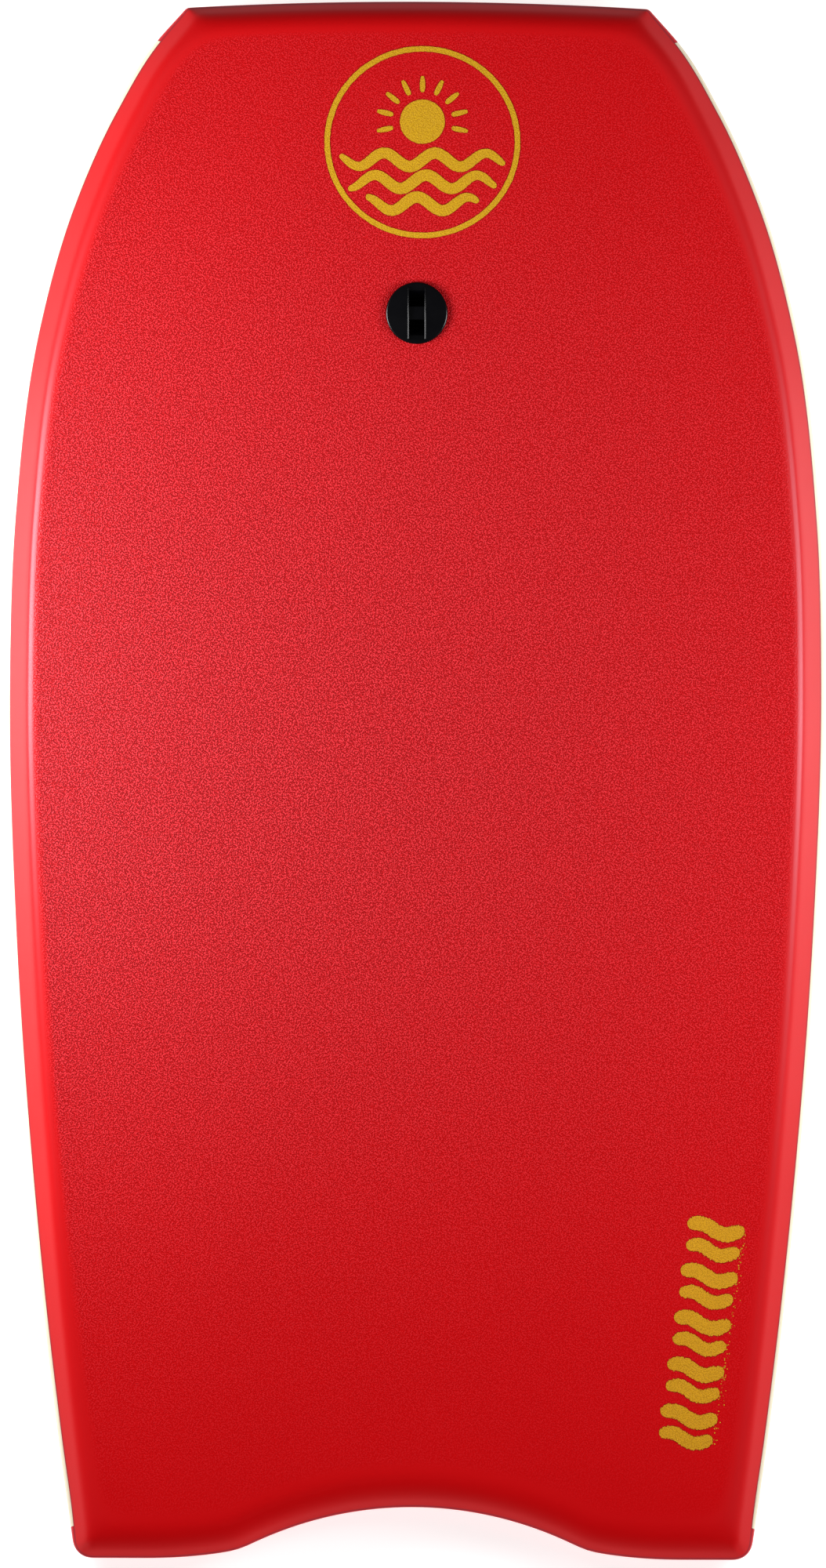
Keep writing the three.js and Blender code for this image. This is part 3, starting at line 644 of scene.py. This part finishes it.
def apply_modifiers(piece):
    """The piece's mesh with its modifiers applied. The piece itself goes."""
    evaluated = piece.evaluated_get(bpy.context.evaluated_depsgraph_get())
    mesh = bpy.data.meshes.new_from_object(evaluated)
    bpy.data.objects.remove(piece)
    return mesh


def combined(piece, tool, operation):
    modifier = piece.modifiers.new("combine", "BOOLEAN")
    modifier.operation = operation
    modifier.solver = "EXACT"
    modifier.object = tool
    mesh = apply_modifiers(piece)
    bpy.data.objects.remove(tool)
    return new_object("work", mesh)


def rounded_edges(piece, width, segments=2, degrees=32):
    modifier = piece.modifiers.new("round", "BEVEL")
    modifier.width = width
    modifier.segments = segments
    modifier.limit_method = "ANGLE"
    modifier.angle_limit = math.radians(degrees)
    modifier.harden_normals = False
    return apply_modifiers(piece)


SLOT_HALF = 17.75
SLOT_MOUTH_HALF = 5.65
SLOT_DEEP_HALF = 4.1
SLOT_FLOOR = -12.5
SLOT_LIP_RADIUS = 0.5
SLOT_END = (SLOT_HALF, 2.1)  # (from the middle, height) of points that shape the slot's floor
SLOT_TURN = (13.2, 0.2)
SLOT_DIP = (9.9, -8)
SLOT_HEEL = (8.9, SLOT_FLOOR)
BAR_HALF = 4.3
BAR_TOP = 0.8
BAR_BOTTOM = -4.2


def slot_half_width(z):
    share = (z - SLOT_FLOOR) / (PLUG_TOP - SLOT_FLOOR)
    return SLOT_DEEP_HALF + (SLOT_MOUTH_HALF - SLOT_DEEP_HALF) * share


def scooped_floor(steps=10):
    """The slot's floor from its end to the middle: a ramp that steepens, then rounds onto the flat."""
    t = np.linspace(0, 1, steps + 1)[:, None]
    start, turn, dip, heel = (np.array(p) for p in (SLOT_END, SLOT_TURN, SLOT_DIP, SLOT_HEEL))
    flat = np.array([BAR_HALF, SLOT_FLOOR])
    ramp = (1 - t) ** 2 * start + 2 * t * (1 - t) * turn + t**2 * dip
    foot = (1 - t) ** 2 * dip + 2 * t * (1 - t) * heel + t**2 * flat
    return [*map(tuple, ramp), *map(tuple, foot[1:])]


def slot_lip(x):
    """A half-round ridge along one side of the slot, with round ends."""
    r = SLOT_LIP_RADIUS
    end = SLOT_HALF - 0.3
    cap = [(r * math.sin(a), r - r * math.cos(a)) for a in np.radians((12, 35, 60))]
    profile = [(q, h - end) for q, h in cap] + [(r, r - end), (r, end - r)]
    lip = turned(profile + [(q, end - h) for q, h in reversed(cap)], 20)
    lip.data.transform(Matrix.Translation((x, 0, PLUG_TOP)) @ Matrix.Rotation(math.pi / 2, 4, "X"))
    return lip


def plug_piece(name, mesh, material):
    """The piece made from a mesh that is in the plug's own millimetres."""
    mesh.transform(plug_place)
    mesh.transform(Matrix.Scale(MM, 4))
    return finish_piece(name, mesh, material, PLUG_SHARP_DEGREES)


def leash_plug_top(material):
    """The deck half: a barrel, a boss and a flange, with a scooped slot that a bar crosses."""
    r = PLUG_RIM_ROUND
    rim = arc((PLUG_FLANGE_RADIUS - r, PLUG_TOP - r), r, 0, 90, 6)
    body = turned([*PLUG_BARREL, (PLUG_FLANGE_RADIUS, 0.3), *rim])
    half = scooped_floor()
    above = PLUG_TOP + 2
    outline = [(SLOT_HALF, above), *half, *[(-y, z) for y, z in reversed(half)], (-SLOT_HALF, above)]
    body = combined(body, prism(outline, slot_half_width), "DIFFERENCE")
    bar = [(BAR_HALF, BAR_TOP), (-BAR_HALF, BAR_TOP), (-BAR_HALF, BAR_BOTTOM), (BAR_HALF, BAR_BOTTOM)]
    body = combined(body, prism(bar, lambda z: slot_half_width(z) + 1), "UNION")
    for side in (-1, 1):
        body = combined(body, slot_lip(side * SLOT_MOUTH_HALF), "UNION")
    mesh = rounded_edges(body, PLUG_EDGE_ROUND)
    piece = plug_piece("leash_plug_disc", mesh, material)
    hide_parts("leash_plug_top")


def leash_plug_bottom(material):
    """The bottom half: a flange on the slick, with a tall socket and a coin slot to turn it by."""
    top = -plug_depth - SOCKET_GAP
    low = top - SOCKET_FLANGE
    edge = SOCKET_FLANGE_RADIUS
    rim = arc((edge - 1, low + 1), 1, -90, 0, 5)
    shoulder = [(edge, top - 0.2), (edge - 0.2, top), (SOCKET_RADIUS, top)]
    body = turned([*rim, *shoulder, (SOCKET_RADIUS, SOCKET_TOP)])
    bore = turned([(SOCKET_BORE, top + 0.4), (SOCKET_BORE, SOCKET_TOP + 1)])
    body = combined(body, bore, "DIFFERENCE")
    half, below, floor_z = COIN_SLOT_HALF_WIDTH, low - 1, low + COIN_SLOT_DEPTH
    slot = [(-half, below), (half, below), (half, floor_z), (-half, floor_z)]
    body = combined(body, prism(slot, lambda z: COIN_SLOT_HALF_LENGTH), "DIFFERENCE")
    mesh = rounded_edges(body, SOCKET_EDGE_ROUND)
    piece = plug_piece("leash_plug_socket", mesh, material)
    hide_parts("leash_plug_bottom")


# ---------------------------------------------------------------- printed decoration

INK_TOP = 0.16
INK_BOTTOM = -0.25
FRINGE = 0.45  # how far the red undercoat shows round the gold
EMBLEM_CENTRE = (3.3, NOSE_Y - 94.3)
EMBLEM_RADIUS = 65.4
EMBLEM_LEAN = 0.978  # it is printed round on the lifted nose, so it is shorter in plan
EMBLEM_LINE = 3.7
SUN_UP = 14  # the sun's middle, above the emblem's
SUN_RADIUS = 15
RAY_START = 20
RAY_LENGTH = 11
WAVE_OFFSETS = (-12, -27, -42)
WAVE_HEIGHT = 4.6
WAVE_LENGTH = 34
WAVE_MARGIN = 9  # from the waves' tips to the ring's outside


class Ink:
    """Thin closed patches of ink that follow the deck, each wider than it is asked for by a fringe.

    lean is how much shorter the whole print is along the board, about the emblem's centre."""

    def __init__(self, seed, fringe=0.0, lean=1.0):
        self.fringe = fringe
        self.lean = lean
        self.top = INK_TOP if fringe == 0 else INK_TOP / 2
        self.points = []
        self.faces = []
        self.random = np.random.default_rng(seed)

    def patch(self, xy, faces, outline):
        """A patch from plan points, quads or triangles over them and the loop round their edge."""
        start = sum(len(p) for p in self.points)
        xy = (xy - EMBLEM_CENTRE) * (1, self.lean) + EMBLEM_CENTRE
        z = deck_z(*xy.T)
        count = len(xy)
        self.points += [np.column_stack([xy, z + self.top]), np.column_stack([xy, z + INK_BOTTOM])]
        self.faces += [[start + i for i in f] for f in faces]
        self.faces += [[start + count + i for i in reversed(f)] for f in faces]
        for a, b in zip(outline, np.roll(outline, -1)):
            self.faces.append([start + a, start + count + a, start + count + b, start + b])

    def ragged(self, count, size, spacing):
        """Noise for an edge of count points, which keeps its shape over a few points."""
        raw = self.random.normal(size=count + 2 * spacing)
        kernel = np.hanning(2 * spacing + 1)
        smooth = np.convolve(raw, kernel / np.linalg.norm(kernel), "same")[spacing:-spacing]
        return size * smooth

    def ribbon(self, line, width, rough=0.0, closed=False):
        """A band of ink along a line of plan points, with a width at each of them."""
        way = np.roll(line, -1, 0) - np.roll(line, 1, 0)
        if not closed:
            way[0], way[-1] = line[1] - line[0], line[-1] - line[-2]
        across = np.column_stack([way[:, 1], -way[:, 0]]) / np.linalg.norm(way, axis=1)[:, None]
        count = len(line)
        shares = np.linspace(-1, 1, 5)
        rows = []
        edges = [self.ragged(count, rough, 1) for _ in range(2)]
        for share in shares:
            push = edges[0] * max(-share, 0) + edges[1] * max(share, 0)
            reach = share * (width / 2 + self.fringe) + np.sign(share) * push
            rows.append(line + across * reach[:, None])
        index = np.arange(len(shares) * count).reshape(len(shares), count)
        nxt = np.roll(index, -1, axis=1)
        quads = np.stack([index[:-1], index[1:], nxt[1:], nxt[:-1]], -1)
        quads = quads if closed else quads[:, :-1]
        faces = quads.reshape(-1, 4).tolist()
        if closed:
            self.ring_patch(np.concatenate(rows), faces, index[0], index[-1])
        else:
            outline = np.concatenate([index[:-1, 0], index[-1, :-1], index[:0:-1, -1], index[0, :0:-1]])
            self.patch(np.concatenate(rows), faces, outline)

    def ring_patch(self, xy, faces, inner, outer):
        start = sum(len(p) for p in self.points)
        self.patch(xy, faces, outer)
        count = len(xy)
        for a, b in zip(inner, np.roll(inner, -1)):
            self.faces.append([start + b, start + count + b, start + count + a, start + a])

    def disc(self, centre, radius, sides, rough=0.0, rings=1):
        """A round patch, with a ragged edge if rough is over 0."""
        turn = np.linspace(0, 2 * math.pi, sides, endpoint=False)
        reach = (radius + self.fringe) * (1 + self.ragged(sides, rough, 1))
        way = np.column_stack([np.cos(turn), np.sin(turn)])
        points = [np.array([centre], float)]
        for ring in range(1, rings + 1):
            points.append(centre + way * (reach * ring / rings)[:, None])
        faces = [[0, 1 + k, 1 + (k + 1) % sides] for k in range(sides)]
        for ring in range(1, rings):
            low, high = 1 + (ring - 1) * sides, 1 + ring * sides
            faces += [[low + k, high + k, high + (k + 1) % sides, low + (k + 1) % sides]
                      for k in range(sides)]
        outline = np.arange(sides) + 1 + (rings - 1) * sides
        self.patch(np.concatenate(points), faces, outline)

    def piece(self, name, material):
        make_piece(name, np.concatenate(self.points), self.faces, material, 40)


def emblem(name, material, fringe=0.0):
    """A plain badge near the nose: a ring round a sun over three waves."""
    ink = Ink(3, fringe, EMBLEM_LEAN)
    centre = np.array(EMBLEM_CENTRE)
    turn = np.linspace(0, 2 * math.pi, 240, endpoint=False)
    ring = centre + (EMBLEM_RADIUS - EMBLEM_LINE / 2) * np.column_stack([np.cos(turn), np.sin(turn)])
    ink.ribbon(ring, np.full(len(ring), EMBLEM_LINE), 0.08, closed=True)
    sun = centre + [0, SUN_UP]
    ink.disc(sun, SUN_RADIUS, 72, 0.006, rings=4)
    for angle in np.radians(np.arange(-12, 193, 25.5)):
        way = np.array([math.cos(angle), math.sin(angle)])
        t = np.linspace(0, 1, 24)
        ray = sun + way * (RAY_START + RAY_LENGTH * t)[:, None]
        ink.ribbon(ray, 1.2 + 2.8 * np.sqrt(np.clip(4 * t * (1.02 - t), 0, 1)) * (1 - 0.35 * t), 0.07)
    for rank, offset in enumerate(WAVE_OFFSETS):
        reach = math.sqrt((EMBLEM_RADIUS - WAVE_MARGIN) ** 2 - offset**2)
        t = np.linspace(-1, 1, 150)
        x = t * reach
        wave = offset + WAVE_HEIGHT * np.sin(2 * math.pi * x / WAVE_LENGTH + 1.1 * rank)
        thick = 1.0 + 6.8 * np.sqrt(np.clip(1 - t**2, 0, 1)) ** 0.6
        ink.ribbon(centre + np.column_stack([x, wave]), thick, 0.08)
    ink.piece(name, material)


MARK_START = (200.9, -306.0)
MARK_END = (183.3, -431.5)
MARK_WIDTH = 38
MARK_COUNT = 5  # pairs of strokes
SPECK_COUNT = 110


def side_mark(name, material, fringe=0.0):
    """A run of sponged wave strokes near the tail, with specks of ink on their outer side."""
    ink = Ink(11, fringe)
    start, end = np.array(MARK_START), np.array(MARK_END)
    along = (end - start) / np.linalg.norm(end - start)
    across = np.array([-along[1], along[0]])
    t = np.linspace(-1, 1, 90)
    for place in np.linspace(0, 1, MARK_COUNT):
        centre = start + place * (end - start)
        for shift, thick, reach in ((-7.2, 9.8, 1.0), (7.2, 9.0, 0.94)):
            wave = shift + 2.6 * np.sin(math.pi * (t * 1.15 + 0.15))
            line = centre + np.outer(t * reach * MARK_WIDTH / 2, across) + np.outer(wave, along)
            blunt = np.clip(1 - np.abs(t) ** 7, 0, 1) ** 0.5
            ink.ribbon(line, 0.8 + (thick - 0.8) * blunt, 0.3)
    if fringe == 0:
        for place in ink.random.uniform(-0.08, 1.08, SPECK_COUNT):
            spread = MARK_WIDTH / 2 + np.abs(ink.random.normal(0, 1.6)) - 1
            ink.disc(start + place * (end - start) + across * spread, ink.random.uniform(0.2, 0.5), 8, 0.15)
    ink.piece(name, material)


# ---------------------------------------------------------------- materials

GRAIN_SCALE = 1080  # pebbles of the deck's grain, per metre
GRAIN_TURN = 0.6  # radians that its pattern is turned from the board's own axes


class Paint:
    """A material with a Principled shader, and short ways to add nodes to it."""

    def __init__(self, name, **sockets):
        self.material = bpy.data.materials.new(name)
        self.material.use_nodes = True
        self.tree = self.material.node_tree
        self.shader = self.tree.nodes["Principled BSDF"]
        for socket, value in sockets.items():
            self.shader.inputs[socket.replace("_", " ")].default_value = value
        self.place = self.add("ShaderNodeTexCoord").outputs["Object"]

    def add(self, kind, **settings):
        node = self.tree.nodes.new(kind)
        for name, value in settings.items():
            setattr(node, name, value)
        return node

    def link(self, source, target):
        if isinstance(source, bpy.types.NodeSocket):
            self.tree.links.new(source, target)
        else:
            target.default_value = source

    def noise(self, scale, detail=2.0, roughness=0.5, distortion=0.0, stretch=None, flat=False):
        """Noise from 0 to 1. If flat, it is the same at every height and turned by GRAIN_TURN."""
        node = self.add("ShaderNodeTexNoise", noise_dimensions="2D" if flat else "3D")
        node.inputs["Scale"].default_value = scale
        node.inputs["Detail"].default_value = detail
        node.inputs["Roughness"].default_value = roughness
        node.inputs["Distortion"].default_value = distortion
        self.link(self.stretched(stretch, GRAIN_TURN if flat else 0), node.inputs["Vector"])
        return node.outputs["Fac"]

    def stretched(self, stretch, turn=0.0):
        if stretch is None and turn == 0:
            return self.place
        node = self.add("ShaderNodeMapping")
        node.inputs["Scale"].default_value = stretch or (1, 1, 1)
        node.inputs["Rotation"].default_value = (0, 0, turn)
        self.link(self.place, node.inputs["Vector"])
        return node.outputs["Vector"]

    def cells(self, scale, feature="F1"):
        node = self.add("ShaderNodeTexVoronoi", feature=feature)
        node.inputs["Scale"].default_value = scale
        self.link(self.place, node.inputs["Vector"])
        return node.outputs["Distance"]

    def maths(self, operation, a, b=0.0, c=0.0):
        node = self.add("ShaderNodeMath", operation=operation)
        for source, socket in zip((a, b, c), node.inputs):
            self.link(source, socket)
        return node.outputs[0]

    def times(self, a, b):
        return self.maths("MULTIPLY", a, b)

    def ramp(self, value, low, high, start=0.0, end=1.0):
        """value from low to high, made into start to end along a smooth step."""
        node = self.add("ShaderNodeMapRange", interpolation_type="SMOOTHSTEP")
        self.link(value, node.inputs["Value"])
        for name, number in (("From Min", low), ("From Max", high), ("To Min", start), ("To Max", end)):
            node.inputs[name].default_value = number
        return node.outputs["Result"]

    def mix(self, share, a, b):
        node = self.add("ShaderNodeMix", data_type="RGBA")
        self.link(share, node.inputs["Factor"])
        self.link(a, node.inputs["A"])
        self.link(b, node.inputs["B"])
        return node.outputs["Result"]

    def attribute(self, name):
        return self.add("ShaderNodeAttribute", attribute_name=name).outputs["Fac"]

    def bump(self, height, distance, strength=1.0, under=None):
        """distance is how high a height of 1 stands, in metres."""
        node = self.add("ShaderNodeBump")
        node.inputs["Distance"].default_value = distance
        self.link(strength, node.inputs["Strength"])
        self.link(height, node.inputs["Height"])
        if under is not None:
            self.link(under, node.inputs["Normal"])
        return node.outputs["Normal"]

    def finish(self, **links):
        for socket, source in links.items():
            self.tree.links.new(source, self.shader.inputs[socket.replace("_", " ")])
        return self.material


def pebbles(paint):
    """The deck foam's grain: short winding ridges about 2 mm apart, as a height from 0 to 1."""
    winding = paint.noise(GRAIN_SCALE, detail=0.0, distortion=0.35, flat=True)
    return paint.ramp(winding, 0.32, 0.68)


SHEEN = 0.055  # the deck foam's specular level where it is dull
GLINT = 0.12  # what full grain adds to it
SMOOTH_SHEEN = 0.41  # and what a glossy bevel adds


def deck_foam_material():
    """Red closed-cell foam, embossed with a fine grain, with painted highlights on its crests and painted
    shade in its pits and along its seam.
    """
    paint = Paint("deck_foam", Specular_Tint=(1, 0.86, 1, 1))
    grain, smooth, seam = (paint.attribute(name) for name in ("grain", "smooth", "seam"))
    height = pebbles(paint)
    raised = paint.times(height, grain)
    broad = paint.noise(7, detail=3, roughness=0.55)
    ground = paint.mix(broad, (0.55, 0.0010, 0.0020, 1), (0.59, 0.0016, 0.0028, 1))
    # Painted shade darkens the grain's pits, and a pale pink painted highlight lies on its crests, both as
    # strong as the grain is deep.
    sunk = paint.maths("POWER", paint.maths("SUBTRACT", 1.0, height), 2.0)
    dark = paint.times(paint.times(sunk, grain), 0.85)
    shaded = paint.mix(dark, ground, (0.25, 0.0002, 0.0008, 1))
    top = paint.maths("POWER", height, 4.0)
    crest_highlight = paint.times(paint.times(top, grain), 0.35)
    grained = paint.mix(crest_highlight, shaded, (0.95, 0.085, 0.115, 1))
    # Painted shade along the skin's lower edge, where the crease at its seam with the cream strip falls in
    # shade.
    colour = paint.mix(paint.times(seam, 0.85), grained, (0.20, 0.010, 0.022, 1))
    fine = paint.noise(2600, detail=2)
    pores = paint.bump(fine, 0.00002, 0.5)
    normal = paint.bump(raised, 0.00030, 1.0, under=pores)
    gloss = paint.times(smooth, paint.ramp(broad, 0.2, 0.8, 0.9, 1.0))
    roughness = paint.ramp(gloss, 0.0, 1.0, 0.58, 0.34)
    glint = paint.maths("MULTIPLY_ADD", paint.maths("POWER", grain, 2.0), GLINT, SHEEN)
    specular = paint.maths("MULTIPLY_ADD", gloss, SMOOTH_SHEEN, glint)
    return paint.finish(Base_Color=colour, Normal=normal, Roughness=roughness, Specular_IOR_Level=specular)


def rail_foam_material():
    """Cream closed-cell foam with fine pores and the faint lines of its extrusion."""
    paint = Paint("rail_foam", Roughness=0.55, Specular_IOR_Level=0.35)
    broad = paint.noise(11, detail=3)
    base = paint.mix(broad, (0.92, 0.84, 0.66, 1), (0.86, 0.75, 0.54, 1))
    pore = paint.ramp(paint.cells(900), 0.15, 0.42, 0.0, 1.0)
    lines = paint.noise(60, detail=3, stretch=(1, 0.05, 14))
    darker = paint.times(paint.ramp(lines, 0.45, 0.75), 0.30)
    colour = paint.mix(darker, base, (0.66, 0.52, 0.33, 1))
    normal = paint.bump(lines, 0.0002, 0.5, under=paint.bump(pore, 0.00006, 0.7))
    return paint.finish(Base_Color=colour, Normal=normal, Roughness=paint.ramp(pore, 0, 1, 0.62, 0.5))


def bumper_foam_material():
    """Smooth red foam, a little denser than the deck's."""
    paint = Paint("bumper_foam", Roughness=0.48, Specular_IOR_Level=0.4)
    broad = paint.noise(14, detail=3)
    colour = paint.mix(broad, (0.56, 0.006, 0.012, 1), (0.63, 0.010, 0.018, 1))
    pore = paint.cells(1100)
    normal = paint.bump(pore, 0.00006, 0.6)
    return paint.finish(Base_Color=colour, Normal=normal, Roughness=paint.ramp(broad, 0.3, 0.7, 0.44, 0.54))


def slick_material():
    """Hard cream plastic with a soft gloss, faint flow marks and fine scratches along the board."""
    paint = Paint("slick", Roughness=0.25, Specular_IOR_Level=0.5)
    broad = paint.noise(5, detail=4, roughness=0.6)
    base = paint.mix(broad, (0.72, 0.65, 0.52, 1), (0.62, 0.55, 0.42, 1))
    scratch = paint.ramp(paint.noise(90, detail=5, roughness=0.7, stretch=(9, 0.22, 1)), 0.60, 0.74)
    colour = paint.mix(paint.times(scratch, 0.3), base, (0.48, 0.41, 0.31, 1))
    ripple = paint.bump(broad, 0.0006, 0.35)
    normal = paint.bump(scratch, 0.00004, 0.6, under=ripple)
    worn = paint.times(scratch, 0.2)
    roughness = paint.maths("ADD", paint.ramp(broad, 0.3, 0.7, 0.20, 0.32), worn)
    return paint.finish(Base_Color=colour, Normal=normal, Roughness=roughness)


def plug_material():
    """Black moulded plastic with a fine matt texture that is polished on its high spots."""
    paint = Paint("plug_plastic", Roughness=0.2, Specular_IOR_Level=0.35)
    cloud = paint.noise(60, detail=3)
    colour = paint.mix(cloud, (0.0008, 0.0008, 0.0014, 1), (0.0016, 0.0016, 0.0024, 1))
    spark = paint.noise(3200, detail=1)
    normal = paint.bump(spark, 0.00002, 0.5)
    return paint.finish(Base_Color=colour, Normal=normal, Roughness=paint.ramp(cloud, 0.3, 0.7, 0.16, 0.24))


def ink_material(name, bright, deep):
    """Gold ink that lies on the foam's grain and is thin in its pits."""
    paint = Paint(name, Roughness=0.5, Specular_IOR_Level=0.12)
    height = pebbles(paint)
    broad = paint.noise(45, detail=3)
    gold = paint.mix(broad, bright, deep)
    thin = paint.times(paint.ramp(height, 0.0, 0.5, 1.0, 0.0), 0.5)
    mottled = paint.mix(thin, gold, (0.40, 0.18, 0.006, 1))
    speck = paint.ramp(paint.noise(1500, detail=1), 0.66, 0.74)
    colour = paint.mix(paint.times(speck, 0.6), mottled, (0.20, 0.07, 0.02, 1))
    normal = paint.bump(height, 0.00014, 0.9)
    return paint.finish(Base_Color=colour, Normal=normal)


def undercoat_material():
    """The thin dark red coat that shows round the gold ink."""
    paint = Paint("undercoat", Roughness=0.5, Specular_IOR_Level=0.12)
    height = pebbles(paint)
    colour = paint.mix(height, (0.24, 0.0010, 0.0012, 1), (0.36, 0.0040, 0.0040, 1))
    return paint.finish(Base_Color=colour, Normal=paint.bump(height, 0.00014, 0.9))


def core_material():
    """Expanded polystyrene: fused beads with fine dark joints."""
    paint = Paint("core_foam", Roughness=0.8, Specular_IOR_Level=0.2)
    joint = paint.ramp(paint.cells(260, "DISTANCE_TO_EDGE"), 0.0, 0.08)
    colour = paint.mix(joint, (0.70, 0.70, 0.66, 1), (0.90, 0.90, 0.87, 1))
    normal = paint.bump(joint, 0.0003, 0.8)
    return paint.finish(Base_Color=colour, Normal=normal)


def liner_material():
    """Soft grey foam sheet with open pores."""
    paint = Paint("liner_foam", Roughness=0.75, Specular_IOR_Level=0.2)
    pore = paint.ramp(paint.cells(700), 0.1, 0.5)
    colour = paint.mix(pore, (0.50, 0.50, 0.48, 1), (0.72, 0.72, 0.70, 1))
    normal = paint.bump(pore, 0.00015, 0.7)
    return paint.finish(Base_Color=colour, Normal=normal)


def dress_cad_node(name, material):
    """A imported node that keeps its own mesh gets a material."""
    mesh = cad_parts[name].data
    mesh.materials.clear()
    mesh.materials.append(material)


# ---------------------------------------------------------------- studio

FLOOR_HALF = 60
FLOOR_GLOW = 0.75  # the floor's own faint light, which keeps it pale in the board's shadow
WORLD_STRENGTH = 0.08

SoftBox = namedtuple("SoftBox", "name place target size watts glossy")
SOFT_BOXES = (
    SoftBox("left_box", (-0.70, 0.14, 0.46), (0, 0.06, 0), (0.38, 0.58), 11.4, True),
    SoftBox("right_box", (0.92, 0.03, 0.66), (0, 0.0, 0), (0.40, 0.85), 11.2, True),
    SoftBox("tail_box", (0, -1.9, 0.35), (0, -0.5, 0), (1.6, 0.5), 12.0, False),
)


def floor():
    """A plain pale floor under the board."""
    half = FLOOR_HALF
    mesh = bpy.data.meshes.new("floor")
    corners = [(-half, -half, 0), (half, -half, 0), (half, half, 0), (-half, half, 0)]
    mesh.from_pydata(corners, [], [(0, 1, 2, 3)])
    paint = Paint("floor", Roughness=0.9, Specular_IOR_Level=0.1, Emission_Color=(1, 1, 1, 1),
                  Emission_Strength=FLOOR_GLOW)
    cloud = paint.noise(0.6, detail=2)
    pale = paint.mix(cloud, (0.60, 0.60, 0.60, 1), (0.62, 0.62, 0.62, 1))
    mesh.materials.append(paint.finish(Base_Color=pale))
    piece = new_object("floor", mesh)


def soft_box(box):
    """An area light that doesn't show itself to the camera. If not glossy, it isn't in reflections."""
    data = bpy.data.lights.new(box.name, "AREA")
    data.shape = "RECTANGLE"
    data.size, data.size_y = box.size
    data.energy = box.watts
    light = new_object(box.name, data)
    light.location = box.place
    way = Vector(box.target) - Vector(box.place)
    light.rotation_euler = way.to_track_quat("-Z", "Y").to_euler()
    light.visible_camera = False
    light.visible_glossy = box.glossy


def studio():
    for box in SOFT_BOXES:
        soft_box(box)
    world = bpy.data.worlds.new("studio")
    world.use_nodes = True
    background = world.node_tree.nodes["Background"]
    background.inputs["Color"].default_value = (1, 1, 1, 1)
    background.inputs["Strength"].default_value = WORLD_STRENGTH
    bpy.context.scene.world = world
    bpy.context.scene.view_settings.view_transform = "Standard"


CAMERA_HEIGHT = 14.0
CAMERA_AIM = (-1.5, -2.0)  # what the middle of the picture looks at
CAMERA_FIELD = 1049.0  # length of the board's plane that the picture's long side takes in
CAMERA_FOCUS_Z = 30.0
CAMERA_ROLL = 0.19


def camera():
    """A long lens straight above the deck, with the nose at the top of the picture."""
    data = bpy.data.cameras.new("camera")
    data.sensor_width = 36
    data.lens = data.sensor_width * (CAMERA_HEIGHT - CAMERA_FOCUS_Z * MM) / (CAMERA_FIELD * MM)
    data.clip_end = 100
    view = new_object("camera", data)
    view.location = (CAMERA_AIM[0] * MM, CAMERA_AIM[1] * MM, CAMERA_HEIGHT)
    view.rotation_euler = (0, 0, math.radians(CAMERA_ROLL))
    bpy.context.scene.camera = view


# ---------------------------------------------------------------- assembly

camera()
studio()
floor()

red_foam = bumper_foam_material()
cream_foam = rail_foam_material()
black_plastic = plug_material()
deck_skin(deck_foam_material())
slick_bottom(slick_material())
for side in (-1, 1):
    rail_strip(side, cream_foam)
for end in (0, 1):
    bumper_strip(end, red_foam)
leash_plug_top(black_plastic)
leash_plug_bottom(black_plastic)
undercoat = undercoat_material()
emblem("emblem_undercoat", undercoat, FRINGE)
emblem("emblem_print", ink_material("emblem_ink", (0.64, 0.355, 0.010, 1), (0.57, 0.315, 0.009, 1)))
side_mark("side_mark_undercoat", undercoat, FRINGE)
side_mark("side_mark_print", ink_material("mark_ink", (0.68, 0.33, 0.012, 1), (0.60, 0.285, 0.010, 1)))
dress_cad_node("foam_core", core_material())
dress_cad_node("bottom_liner", liner_material())
